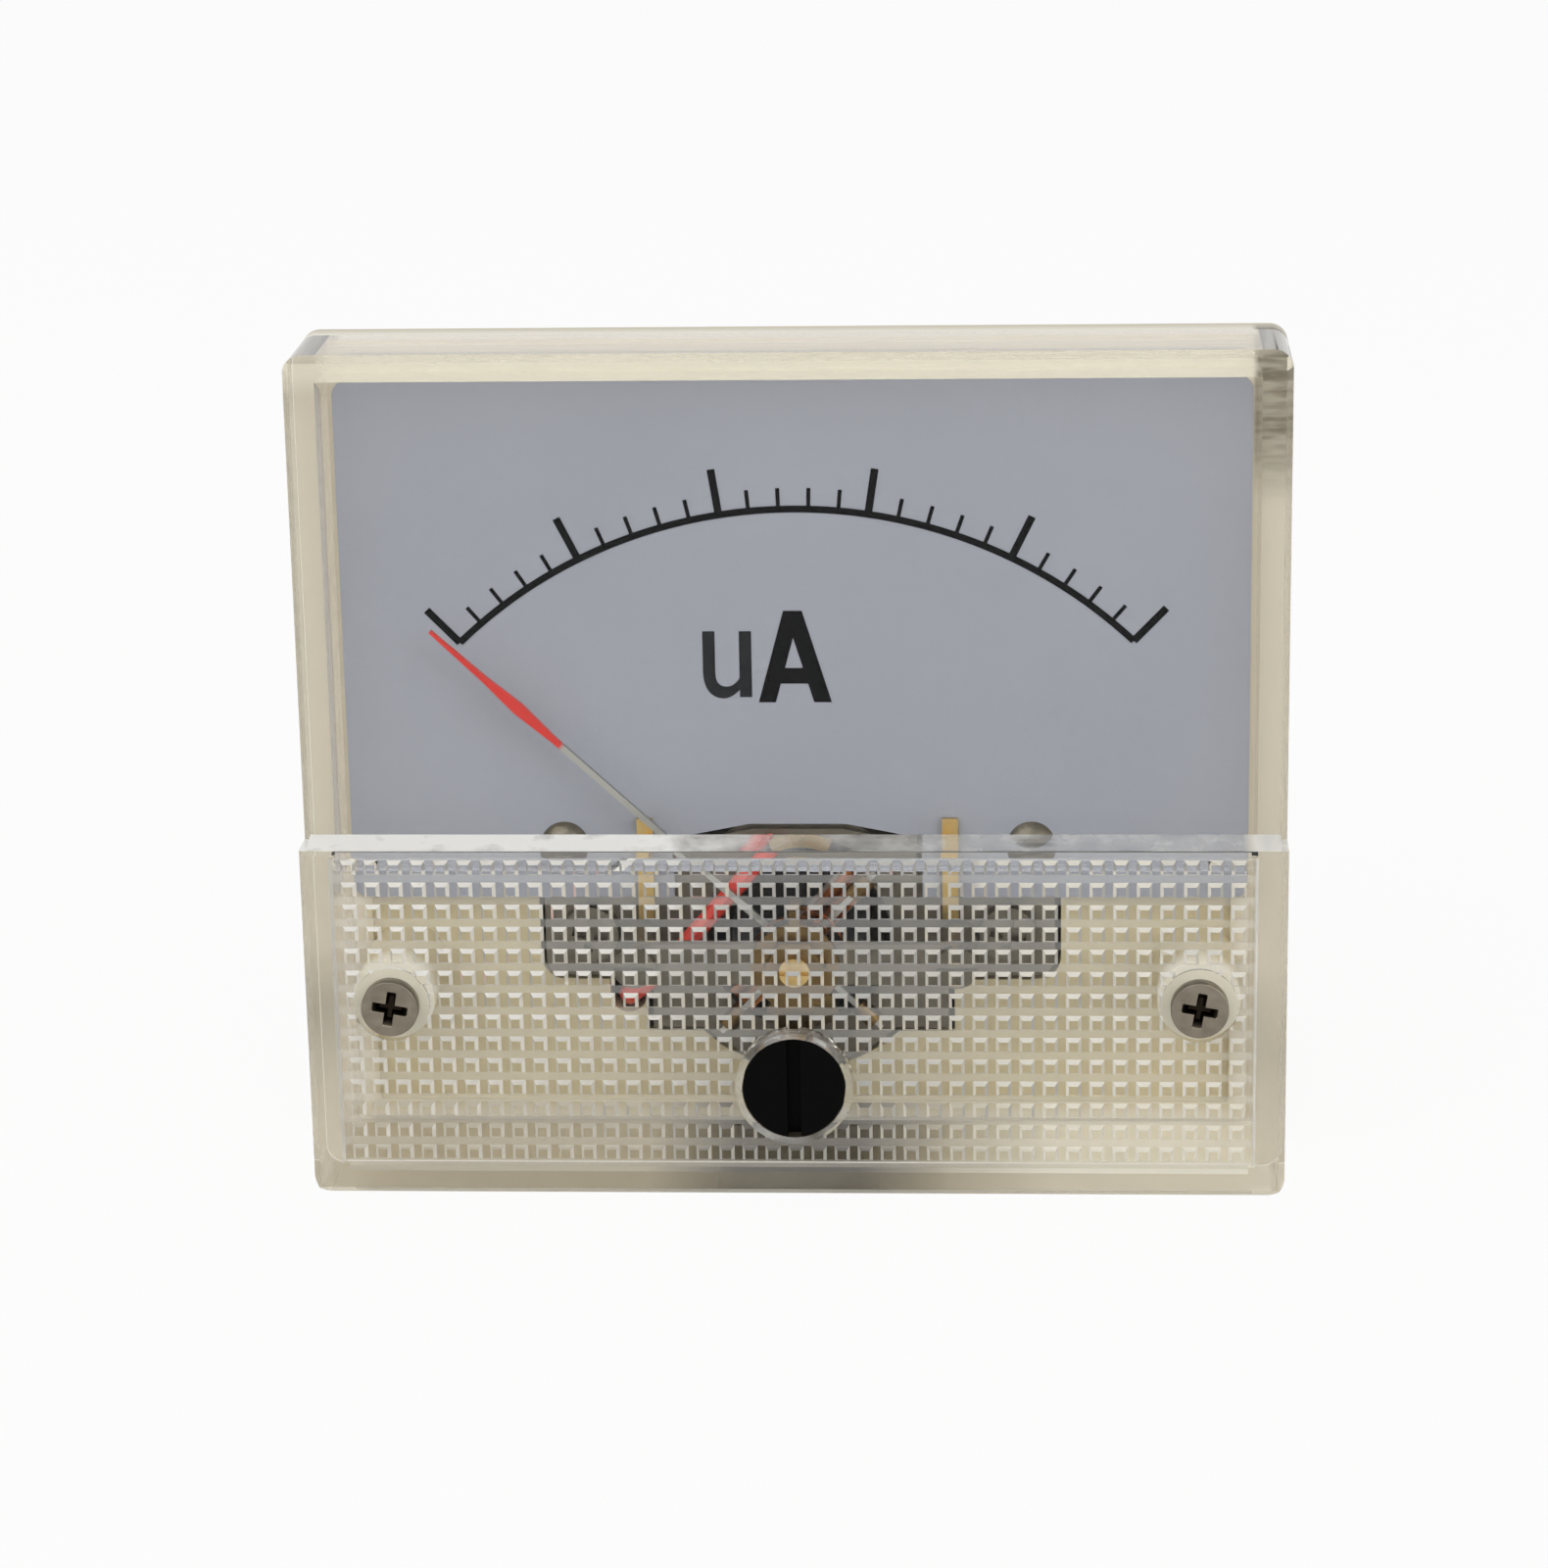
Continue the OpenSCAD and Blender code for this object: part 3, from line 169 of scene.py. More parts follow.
for mask in (right, lit, ribs):
    painted_rim_shade = add(tree, "ShaderNodeMath", {0: painted_rim_shade[0], 1: mask[0]}, operation="MULTIPLY")
tone = add(tree, "ShaderNodeMix", {0: painted_rim_shade[0], 6: tone[2], 7: srgb("#7F7869")}, data_type="RGBA")

# The pillars' ends are pale where the cover is clamped on them.
pillar_r, pillar_front = 3.4 * MM, -9 * MM
front = add(tree, "ShaderNodeMapRange", {
    "Value": along["Y"], "From Min": pillar_front + 2 * MM, "From Max": pillar_front})
clamped = add(tree, "ShaderNodeMapRange", {
    "Value": off_screws(tree, place), "From Min": pillar_r, "From Max": pillar_r - 0.5 * MM, "To Max": 0.9})
clamped = add(tree, "ShaderNodeMath", {0: clamped[0], 1: front[0]}, operation="MULTIPLY")
tone = add(tree, "ShaderNodeMix", {0: clamped[0], 6: tone[2], 7: srgb("#EFEADC")}, data_type="RGBA")
shader = add(tree, "ShaderNodeBsdfPrincipled", {
    "Base Color": tone[2], "Roughness": gloss[0], "Normal": skin[0], "IOR": 1.53})
add(tree, "ShaderNodeOutputMaterial", {"Surface": shader[0]})

# The moulding's edges are rounded, most of all round the body's back. Points closer than weld are one
# point, sizes closer than slack are the same, and faces that bend less than near_flat are one face.
weld, slack = 0.002 * MM, 0.02 * MM
near_flat = math.radians(0.3)


def merged(node):
    """A copy of a CAD node's loose triangles, joined."""
    bm = bmesh.new()
    bm.from_mesh(cad[node].data)
    bmesh.ops.remove_doubles(bm, verts=bm.verts, dist=weld)
    return bm


def rounded(bm, edges, width, segments=2, clamp=False):
    """Rounds the given edges; clamped, the rounding stops where it would run into another."""
    bmesh.ops.bevel(bm, geom=edges, offset=width, affect="EDGES", segments=segments, profile=0.5,
                    material=-1, clamp_overlap=clamp)


def soften(bm, width, angle=40):
    """Clears flat faces and rounds the edges that are sharper than an angle in degrees."""
    bmesh.ops.dissolve_limit(bm, angle_limit=near_flat, verts=bm.verts, edges=bm.edges)
    sharp = [e for e in bm.edges if len(e.link_faces) == 2 and e.calc_face_angle() > math.radians(angle)]
    rounded(bm, sharp, width, clamp=True)


def formed(name, bm, material):
    """An object at the origin from a finished bmesh."""
    mesh = bpy.data.meshes.new(name)
    bm.to_mesh(mesh)
    bm.free()
    mesh.materials.append(material)
    return placed(name, mesh)


def piece(name, bm, material, body, outward=True):
    """A piece of the meter that rides on a body, with its faces turned outwards."""
    if outward:
        bmesh.ops.recalc_face_normals(bm, faces=bm.faces)
    made = formed(name, bm, material)
    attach(made, body)
    return made


back, body_r = 21.5 * MM, 24.5 * MM
bm = merged("base")
bmesh.ops.dissolve_limit(bm, angle_limit=near_flat, verts=bm.verts, edges=bm.edges)
rear_edge = [e for e in bm.edges if all(
    abs(v.co.y - back) < slack and abs(math.hypot(v.co.x, v.co.z) - body_r) < 0.05 * MM for v in e.verts)]
rounded(bm, rear_edge, 0.6 * MM, segments=4)
soften(bm, 0.15 * MM)
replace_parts(piece("moulded_base", bm, ivory_abs, "case"), "base")


# Signs beside the terminals, ejector pads and the gate: raised a little on the base's back, as the
# mould leaves them.
def thicken(bm, depth):
    """Draws flat faces out into solids along Y."""
    drawn = bmesh.ops.extrude_face_region(bm, geom=bm.faces[:])["geom"]
    moved = [v for v in drawn if isinstance(v, bmesh.types.BMVert)]
    bmesh.ops.translate(bm, verts=moved, vec=(0, depth, 0))


terminal_x, sign_z = 11.5 * MM, 9.2 * MM
arm, bar = 1.7 * MM, 0.4 * MM
ejector_x, ejector_z, ejector_r, gate_r = 13.5 * MM, 15.2 * MM, 1.6 * MM, 0.9 * MM
sunk, raised = 0.1 * MM, 0.25 * MM
plus = ((-bar, arm), (bar, arm), (bar, bar), (arm, bar), (arm, -bar), (bar, -bar),
        (bar, -arm), (-bar, -arm), (-bar, -bar), (-arm, -bar), (-arm, bar), (-bar, bar))
minus = ((-arm, bar), (arm, bar), (arm, -bar), (-arm, -bar))
bm = bmesh.new()
for x, outline in ((terminal_x, plus), (-terminal_x, minus)):
    bm.faces.new([bm.verts.new((x + a, back - sunk, sign_z + b)) for a, b in outline])
pads = [(x, z, ejector_r) for z in (ejector_z, -ejector_z) for x in (ejector_x, -ejector_x)]
for x, z, r in (*pads, (0, 0, gate_r)):
    at = Matrix.Translation((x, back - sunk, z)) @ Matrix.Rotation(math.pi / 2, 4, "X")
    bmesh.ops.create_circle(bm, cap_ends=True, segments=32, radius=r, matrix=at)
thicken(bm, sunk + raised)
rounded(bm, [e for e in bm.edges if all(v.co.y > back for v in e.verts)], 0.1 * MM)
piece("moulded_signs", bm, ivory_abs, "case")

# Mounting studs, washers, nuts, lugs, pivots and the adjuster's clip: turned or stamped mild
# steel. The studs are moulded into the flange, and the nuts hold washers and lugs on the terminals.
# Nickel plating is a warm pale grey, a little cloudy, with fine turning marks.
nickel, tree, place = begin("nickel_plated_steel")
cloud = add(tree, "ShaderNodeTexNoise", {"Vector": place, "Scale": 1 / (1.5 * MM), "Detail": 4})
marks = add(tree, "ShaderNodeTexNoise", {"Vector": place, "Scale": 1 / (0.12 * MM), "Detail": 2})
tone = add(tree, "ShaderNodeMix", {0: cloud["Fac"], 6: srgb("#B4B1A9"), 7: srgb("#8F8C85")},
           data_type="RGBA")
gloss = add(tree, "ShaderNodeMapRange", {"Value": marks["Fac"], "To Min": 0.2, "To Max": 0.42})
skin = add(tree, "ShaderNodeBump", {"Height": marks["Fac"], "Strength": 0.15, "Distance": 0.01 * MM})
shader = add(tree, "ShaderNodeBsdfPrincipled", {
    "Base Color": tone[2], "Metallic": 1, "Roughness": gloss[0], "Normal": skin[0]})
add(tree, "ShaderNodeOutputMaterial", {"Surface": shader[0]})


def dress(material, *names):
    """Gives CAD nodes their finish."""
    for name in names:
        cad[name].data.materials.clear()
        cad[name].data.materials.append(material)


dress(nickel, "terminal_washers", "solder_lugs", "pivot_shafts", "adjuster_clip")


def threaded(node, axis_x, axis_z, r, pitch, start, end):
    """A pair of studs with their shanks thinned to the root and a rolled thread wound round each."""
    depth, turns, steps = 0.6 * pitch, int((end - start) / pitch) - 1, 28
    root, stop = r - depth, start + (turns + 1) * pitch
    profile = ((depth, 0.02), (0, 0.44), (0, 0.56), (depth, 0.98))
    thinned, run_out, least = 0.94 * depth, 0.4, 0.05
    bm = merged(node)
    for side in (-1, 1):
        axis = Vector((side * axis_x, 0, axis_z))
        for v in bm.verts:
            off = Vector((v.co.x - axis.x, 0, v.co.z - axis.z))
            if abs(off.length - r) < slack and v.co.y > start - 0.1 * MM:
                v.co -= off.normalized() * thinned
        shank = set(bm.verts)
        ridge = [bm.verts.new(axis + Vector((r - deep, start + turn * pitch, 0))) for deep, turn in profile]
        first = [bm.edges.new(ends) for ends in zip(ridge, ridge[1:] + ridge[:1])]
        wound = bmesh.ops.spin(bm, geom=ridge + first, cent=axis, axis=(0, 1, 0), dvec=(0, pitch / steps, 0),
                               angle=2 * math.pi * turns, steps=steps * turns)
        last = [e for e in wound["geom_last"] if isinstance(e, bmesh.types.BMEdge)]
        for ring in (first, last):
            bmesh.ops.contextual_create(bm, geom=ring)
        for v in set(bm.verts) - shank:
            off = Vector((v.co.x - axis.x, 0, v.co.z - axis.z))
            lead = min(v.co.y - start, stop - v.co.y) / pitch
            full = min(1, max(least, (lead - run_out) / run_out))
            v.co -= off.normalized() * (off.length - root) * (1 - full)
    return bm


stud_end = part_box("mounting_studs")[1].y
bm = threaded("mounting_studs", screw_axis.x, screw_axis.z, r=1.5 * MM, pitch=0.5 * MM,
              start=0.3 * MM, end=stud_end)
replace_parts(piece("threaded_mounting_studs", bm, nickel, "case"), "mounting_studs")
bm = merged("terminal_nuts")
soften(bm, 0.2 * MM, 30)
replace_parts(piece("terminal_hex_nuts", bm, nickel, "case"), "terminal_nuts")

# Terminals, jewel screws, core spacers and pointer stops: turned or stamped brass. The terminal
# studs carry the solder lugs inside the body and the wire nuts outside.
# Bare brass that has dulled a little: golden, with brownish clouds in the tarnish.
brass, tree, place = begin("turned_brass")
cloud = add(tree, "ShaderNodeTexNoise", {"Vector": place, "Scale": 1 / (2.5 * MM), "Detail": 5})
marks = add(tree, "ShaderNodeTexNoise", {"Vector": place, "Scale": 1 / (0.15 * MM), "Detail": 2})
tone = add(tree, "ShaderNodeMix", {0: cloud["Fac"], 6: srgb("#E6CD95"), 7: srgb("#C9A868")},
           data_type="RGBA")
gloss = add(tree, "ShaderNodeMapRange", {"Value": marks["Fac"], "To Min": 0.22, "To Max": 0.4})
shader = add(tree, "ShaderNodeBsdfPrincipled", {
    "Base Color": tone[2], "Metallic": 1, "Roughness": gloss[0]})
add(tree, "ShaderNodeOutputMaterial", {"Surface": shader[0]})
dress(brass, "core_spacers", "front_jewel_screw", "rear_jewel_screw", "pointer_stops")

terminal_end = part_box("terminal_studs")[1].y
bm = threaded("terminal_studs", terminal_x, 0, r=2.5 * MM, pitch=0.8 * MM,
              start=terminal_end - 15.6 * MM, end=terminal_end)
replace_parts(piece("threaded_terminal_studs", bm, brass, "case"), "terminal_studs")

# Movement frame and front bridge: the plate with hump and collar that everything of the movement
# hangs on, and the bridge across its front. They are die cast and left as cast.
# Cast zinc is a dull brownish grey, blotched by the casting skin and finely pitted.
cast_zinc, tree, place = begin("cast_zinc")
cloud = add(tree, "ShaderNodeTexNoise", {"Vector": place, "Scale": 1 / (3 * MM), "Detail": 5})
pits = add(tree, "ShaderNodeTexNoise", {"Vector": place, "Scale": 1 / (0.25 * MM), "Detail": 3})
tone = add(tree, "ShaderNodeMix", {0: cloud["Fac"], 6: srgb("#8A8479"), 7: srgb("#5F5A52")},
           data_type="RGBA")
gloss = add(tree, "ShaderNodeMapRange", {"Value": pits["Fac"], "To Min": 0.4, "To Max": 0.65})
skin = add(tree, "ShaderNodeBump", {"Height": pits["Fac"], "Strength": 0.4, "Distance": 0.03 * MM})
shader = add(tree, "ShaderNodeBsdfPrincipled", {
    "Base Color": tone[2], "Metallic": 0.8, "Roughness": gloss[0], "Normal": skin[0]})
add(tree, "ShaderNodeOutputMaterial", {"Surface": shader[0]})
dress(cast_zinc, "movement_frame", "front_bridge")


# Screws of the movement: small pan heads that hold the frame, the bridges and the dial.
# The same plating as outside, dulled and brownish, and painted darker as shade in the closed case.
def retoned(material, name, light, dark):
    """A copy of a material whose clouds have two other colours."""
    made = material.copy()
    made.name = name
    tones = next(n for n in made.node_tree.nodes if n.bl_idname == "ShaderNodeMix")
    tones.inputs[6].default_value = srgb(light)
    tones.inputs[7].default_value = srgb(dark)
    return made


# A darker copy of the plating: partly tarnish, partly painted shade inside the case.
nickel_dulled_and_shaded = retoned(nickel, "nickel_plating_dulled_and_shaded", "#8A857A", "#57534B")
dress(nickel_dulled_and_shaded, "frame_screws", "bridge_screws", "dial_screws")

# Yoke ring and core magnet: the ring is cut from soft-iron tube and sits in the frame's
# collar; the core is a sintered magnet, ground to size and held by the spacers.
# Both are dark: oiled iron with bluish patches, and the magnet's near-black ground skin.
dark_iron, tree, place = begin("oiled_soft_iron")
cloud = add(tree, "ShaderNodeTexNoise", {"Vector": place, "Scale": 1 / (2 * MM), "Detail": 4})
tone = add(tree, "ShaderNodeMix", {0: cloud["Fac"], 6: srgb("#4E4F52"), 7: srgb("#2F3032")},
           data_type="RGBA")
gloss = add(tree, "ShaderNodeMapRange", {"Value": cloud["Fac"], "To Min": 0.3, "To Max": 0.5})
shader = add(tree, "ShaderNodeBsdfPrincipled", {
    "Base Color": tone[2], "Metallic": 1, "Roughness": gloss[0]})
add(tree, "ShaderNodeOutputMaterial", {"Surface": shader[0]})
dress(dark_iron, "yoke_ring", "core_magnet")

# Rear bridge and coil former: punched aluminium strip, bent and drilled. The bridge is screwed to
# the frame, and the former carries the winding.
# Rolled aluminium is pale and satin, streaked along the rolling direction.
aluminium, tree, place = begin("rolled_aluminium")
stretch = add(tree, "ShaderNodeMapping", {"Vector": place, "Scale": (0.05, 1, 1)})
streak = add(tree, "ShaderNodeTexNoise", {"Vector": stretch[0], "Scale": 1 / (0.15 * MM), "Detail": 3})
tone = add(tree, "ShaderNodeMix", {0: streak["Fac"], 6: srgb("#C4C4C0"), 7: srgb("#9D9D99")},
           data_type="RGBA")
gloss = add(tree, "ShaderNodeMapRange", {"Value": streak["Fac"], "To Min": 0.28, "To Max": 0.48})
shader = add(tree, "ShaderNodeBsdfPrincipled", {
    "Base Color": tone[2], "Metallic": 1, "Roughness": gloss[0]})
add(tree, "ShaderNodeOutputMaterial", {"Surface": shader[0]})
dress(aluminium, "rear_bridge", "coil_former")

# Winding and hairsprings: the coil is wound in layers of enamelled wire on the former, which
# rests turned with the pointer; the springs are flat bronze strip rolled into spirals.
# Enamelled copper is a deep orange brown; its colour is painted lighter along the crest of each wire as a
# sheen and darker between wires as shade.
rest_turn = math.radians(47)
copper, tree, place = begin("enamelled_copper_wire")
level = add(tree, "ShaderNodeMapping", {"Vector": place, "Rotation": (0, rest_turn, 0)})
# Painted sheen and shade: the colour is lighter along each wire's crest and darker between wires.
wire_ridges_and_sheen = add(tree, "ShaderNodeTexWave", {"Vector": level[0], "Scale": 1 / (2.8 * MM)},
            bands_direction="Z")
tone = add(tree, "ShaderNodeMix", {0: wire_ridges_and_sheen["Fac"], 6: srgb("#7A3D1B"), 7: srgb("#C77B45")},
           data_type="RGBA")
ridge = add(tree, "ShaderNodeBump", {"Height": wire_ridges_and_sheen["Fac"], "Strength": 0.6, "Distance": 0.05 * MM})
shader = add(tree, "ShaderNodeBsdfPrincipled", {
    "Base Color": tone[2], "Metallic": 1, "Roughness": 0.32, "Normal": ridge[0],
    "Coat Weight": 0.4, "Coat Roughness": 0.12})
add(tree, "ShaderNodeOutputMaterial", {"Surface": shader[0]})
dress(copper, "coil_winding", "front_hairspring", "rear_hairspring")

# Pointer: a thin punched strip with hub, balance arms and a long lance. The lance is dipped
# in red lacquer from its foot to the tip; the rest stays bare metal.
# Red signal lacquer over bare aluminium, with a soft edge where the dip ends.
pivot = Vector((0, 0, -12)) * MM
lance_foot, soft_edge = 21.5 * MM, 0.15 * MM
pointer_lacquer, tree, place = begin("red_lacquer_on_aluminium")
centred = add(tree, "ShaderNodeVectorMath", {0: place, 1: pivot}, operation="SUBTRACT")
reach = add(tree, "ShaderNodeVectorMath", {0: centred[0]}, operation="LENGTH")
dipped = add(tree, "ShaderNodeMapRange", {
    "Value": reach["Value"], "From Min": lance_foot - soft_edge, "From Max": lance_foot + soft_edge})
speck = add(tree, "ShaderNodeTexNoise", {"Vector": place, "Scale": 1 / (0.4 * MM), "Detail": 3})
red = add(tree, "ShaderNodeMix", {0: speck["Fac"], 6: srgb("#E0382F"), 7: srgb("#C42A28")},
          data_type="RGBA")
tone = add(tree, "ShaderNodeMix", {0: dipped[0], 6: srgb("#B4B4B2"), 7: red[2]}, data_type="RGBA")
bare = add(tree, "ShaderNodeMapRange", {"Value": dipped[0], "To Min": 1, "To Max": 0})
shader = add(tree, "ShaderNodeBsdfPrincipled", {
    "Base Color": tone[2], "Metallic": bare[0], "Roughness": 0.35})
add(tree, "ShaderNodeOutputMaterial", {"Surface": shader[0]})
dress(pointer_lacquer, "pointer")

# Balance weights, zero lever and lock nuts: small brass sleeves on the pointer's arms, the punched
# lever that holds the spring, and the nuts of the jewel screws. The flux that fixes them has browned
# the brass.
browned_brass = retoned(brass, "flux_browned_brass", "#8D7650", "#5E4B30")
dress(browned_brass, "balance_weights", "zero_lever", "lock_nuts")

# Leads: two short insulated wires, soldered to the movement and to the lugs.
# PVC insulation is smooth and slightly waxy; the red one shows through the pad field.
for name, light, dark, node in (("red_pvc", "#E2483E", "#C53A33", "red_lead"),
                                ("black_pvc", "#2A2A2C", "#1B1B1D", "black_lead")):
    pvc, tree, place = begin(name)
    cloud = add(tree, "ShaderNodeTexNoise", {"Vector": place, "Scale": 1 / (1.2 * MM), "Detail": 3})
    tone = add(tree, "ShaderNodeMix", {0: cloud["Fac"], 6: srgb(light), 7: srgb(dark)},
               data_type="RGBA")
    gloss = add(tree, "ShaderNodeMapRange", {"Value": cloud["Fac"], "To Min": 0.3, "To Max": 0.45})
    shader = add(tree, "ShaderNodeBsdfPrincipled", {"Base Color": tone[2], "Roughness": gloss[0]})
    add(tree, "ShaderNodeOutputMaterial", {"Surface": shader[0]})
    dress(pvc, node)

# Dial plate: a punched aluminium sheet, sprayed matt and screen printed, held by two screws.
# Bluish grey matt paint, faintly mottled, with the tiny pimples of a sprayed coat.
dial_paint, tree, place = begin("matt_dial_paint")
cloud = add(tree, "ShaderNodeTexNoise", {"Vector": place, "Scale": 1 / (14 * MM), "Detail": 2})
spray = add(tree, "ShaderNodeTexNoise", {"Vector": place, "Scale": 1 / (0.22 * MM), "Detail": 2})
tone = add(tree, "ShaderNodeMix", {0: cloud["Fac"], 6: srgb("#A3A7B5"), 7: srgb("#9A9FAD")},
           data_type="RGBA")
gloss = add(tree, "ShaderNodeMapRange", {"Value": spray["Fac"], "To Min": 0.55, "To Max": 0.75})
skin = add(tree, "ShaderNodeBump", {"Height": spray["Fac"], "Strength": 0.15, "Distance": 0.01 * MM})
shader = add(tree, "ShaderNodeBsdfPrincipled", {
    "Base Color": tone[2], "Roughness": gloss[0], "Normal": skin[0]})
add(tree, "ShaderNodeOutputMaterial", {"Surface": shader[0]})
dress(dial_paint, "dial_plate")

# Scale and unit: screen-printed ink on the dial, an arc with 25 divisions, every fifth one long,
# and the unit below its middle. The arc is a little flatter than the pointer's sweep.
# Black screen ink, slightly raised and matt, a touch thinner over the sprayed coat.
ink, tree, place = begin("black_screen_ink")
coat = add(tree, "ShaderNodeTexNoise", {"Vector": place, "Scale": 1 / (0.3 * MM), "Detail": 3})
tone = add(tree, "ShaderNodeMix", {0: coat["Fac"], 6: srgb("#050608"), 7: srgb("#0B0C10")},
           data_type="RGBA")
shader = add(tree, "ShaderNodeBsdfPrincipled", {
    "Base Color": tone[2], "Roughness": 0.6, "Specular IOR Level": 0.08})
add(tree, "ShaderNodeOutputMaterial", {"Surface": shader[0]})

ink_t = 0.02 * MM
ink_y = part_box("dial_plate")[0].y - ink_t / 2
print_centre = Vector((0.1 * MM, ink_y, -14.15 * MM))
arc_r, arc_w, half_arc = 31.75 * MM, 0.46 * MM, math.radians(43.96)
divisions, long_every = 25, 5
long_mark, short_mark = (3.05 * MM, 0.5 * MM), (1.4 * MM, 0.26 * MM)
bm = bmesh.new()
ends = [bm.verts.new(print_centre + Matrix.Rotation(-half_arc, 3, "Y") @ Vector((0, 0, r)))
        for r in (arc_r - arc_w / 2, arc_r + arc_w / 2)]
first = bm.edges.new(ends)
bmesh.ops.spin(bm, geom=[*ends, first], cent=print_centre, axis=(0, 1, 0), angle=2 * half_arc, steps=100)
bmesh.ops.solidify(bm, geom=bm.faces[:], thickness=ink_t)
for i in range(divisions + 1):
    length, width = short_mark if i % long_every else long_mark
    angle = -half_arc + 2 * half_arc * i / divisions
    at = Matrix.Translation(print_centre) @ Matrix.Rotation(angle, 4, "Y")
    at @= Matrix.Translation((0, 0, arc_r + length / 2))
    bmesh.ops.create_cube(bm, size=1, matrix=at @ Matrix.Diagonal((width, ink_t, length, 1)))
piece("scale_print", bm, ink, "case")

# The bold letter of the unit: its two halves, drawn in millimetres, meet in a line through the middle.
split = -0.06
foot, bar_foot, bar_head, peak, head = 4.6, 5.87, 6.93, 8.96, 10.79
left_half = ((-2.37, foot), (-1.25, foot), (-0.9, bar_foot), (split, bar_foot), (split, bar_head),
             (-0.61, bar_head), (split, peak), (split, head), (-0.68, head))
right_half = ((2.43, foot), (0.54, head), (split, head), (split, peak), (0.56, bar_head),
              (split, bar_head), (split, bar_foot), (0.88, bar_foot), (1.27, foot))
bm = bmesh.new()
for outline in (left_half, right_half):
    bm.faces.new([bm.verts.new((x * MM, ink_y + ink_t / 2, z * MM)) for x, z in outline])
bmesh.ops.remove_doubles(bm, verts=bm.verts, dist=weld)
thicken(bm, -ink_t)
piece("unit_print_a", bm, ink, "case")

# The thin letter is printed in a lighter ink than the bold one.
grey_ink = retoned(ink, "grey_screen_ink", "#1D1E22", "#2C2D32")
letter_w, letter_h = 3.2 * MM, 4.55 * MM
letter_left, letter_foot = -6 * MM, 4.87 * MM
curve = bpy.data.curves.new("unit_print_u", "FONT")
curve.body, curve.offset, curve.extrude = "u", 0.004, 0.5
text = placed("unit_print_u", curve)
bpy.context.view_layer.update()
letter = bpy.data.meshes.new_from_object(text.evaluated_get(bpy.context.evaluated_depsgraph_get()))
bpy.data.objects.remove(text)
bm = bmesh.new()
bm.from_mesh(letter)
bmesh.ops.remove_doubles(bm, verts=bm.verts, dist=1e-5)
xs, ys = ([v.co[i] for v in bm.verts] for i in (0, 1))
wide, tall = max(xs) - min(xs), max(ys) - min(ys)
bmesh.ops.translate(bm, verts=bm.verts, vec=(-min(xs), -min(ys), 0))
bmesh.ops.scale(bm, verts=bm.verts, vec=(letter_w / wide, letter_h / tall, ink_t))
bmesh.ops.rotate(bm, verts=bm.verts, matrix=Matrix.Rotation(math.pi / 2, 3, "X"))
bmesh.ops.translate(bm, verts=bm.verts, vec=(letter_left, ink_y, letter_foot))
piece("unit_print_u", bm, grey_ink, "case")

# Zero adjuster: a black moulded disc with a screwdriver slot, turning in the cover's collar.
# Black ABS, smooth from the mould, with hair-fine marks from handling.
black_abs, tree, place = begin("black_abs_moulded")
marks = add(tree, "ShaderNodeTexNoise", {"Vector": place, "Scale": 1 / (0.5 * MM), "Detail": 4})
tone = add(tree, "ShaderNodeMix", {0: marks["Fac"], 6: srgb("#030303"), 7: srgb("#070707")},
           data_type="RGBA")
gloss = add(tree, "ShaderNodeMapRange", {"Value": marks["Fac"], "To Min": 0.3, "To Max": 0.5})
shader = add(tree, "ShaderNodeBsdfPrincipled", {
    "Base Color": tone[2], "Roughness": gloss[0], "Specular IOR Level": 0.04})
add(tree, "ShaderNodeOutputMaterial", {"Surface": shader[0]})
dress(black_abs, "zero_adjuster")

# Front cover: one clear moulding with window, ledge, pad field, screw lands and collar. It is
# injection moulded in polystyrene and held by the two screws.
# Clear polystyrene bends light strongly and is faintly smudged.
clear_ps, tree, place = begin("clear_polystyrene")
where = add(tree, "ShaderNodeSeparateXYZ", {0: place})
facing = add(tree, "ShaderNodeSeparateXYZ", {0: add(tree, "ShaderNodeTexCoord")["Normal"]})
reach = add(tree, "ShaderNodeMath", {0: where["X"]}, operation="ABSOLUTE")
slope = add(tree, "ShaderNodeMath", {0: facing["Y"]}, operation="ABSOLUTE")
upward = add(tree, "ShaderNodeMapRange", {"Value": facing["Z"], "From Min": 0.7, "From Max": 0.97})
smudge = add(tree, "ShaderNodeTexNoise", {"Vector": place, "Scale": 1 / (7 * MM), "Detail": 4})
gloss = add(tree, "ShaderNodeMapRange", {"Value": smudge["Fac"], "To Min": 0.0, "To Max": 0.035})
specks = add(tree, "ShaderNodeTexNoise", {"Vector": place, "Scale": 1 / (2.5 * MM), "Detail": 5})

# Dust lies on the ledge, thick on its left and at its ends; the thick film on the left is also a painted
# highlight of light from above. It lies loose on the outside, so the ledge is still a bare mirror from
# within the plastic.
ledge_under, ledge_over = -15 * MM, 5 * MM
under = add(tree, "ShaderNodeMath", {0: where["Z"], 1: ledge_over}, operation="LESS_THAN")
over = add(tree, "ShaderNodeMath", {0: where["Z"], 1: ledge_under}, operation="GREATER_THAN")
on_ledge = add(tree, "ShaderNodeMath", {0: under[0], 1: over[0]}, operation="MULTIPLY")
on_ledge = add(tree, "ShaderNodeMath", {0: upward[0], 1: on_ledge[0]}, operation="MULTIPLY")
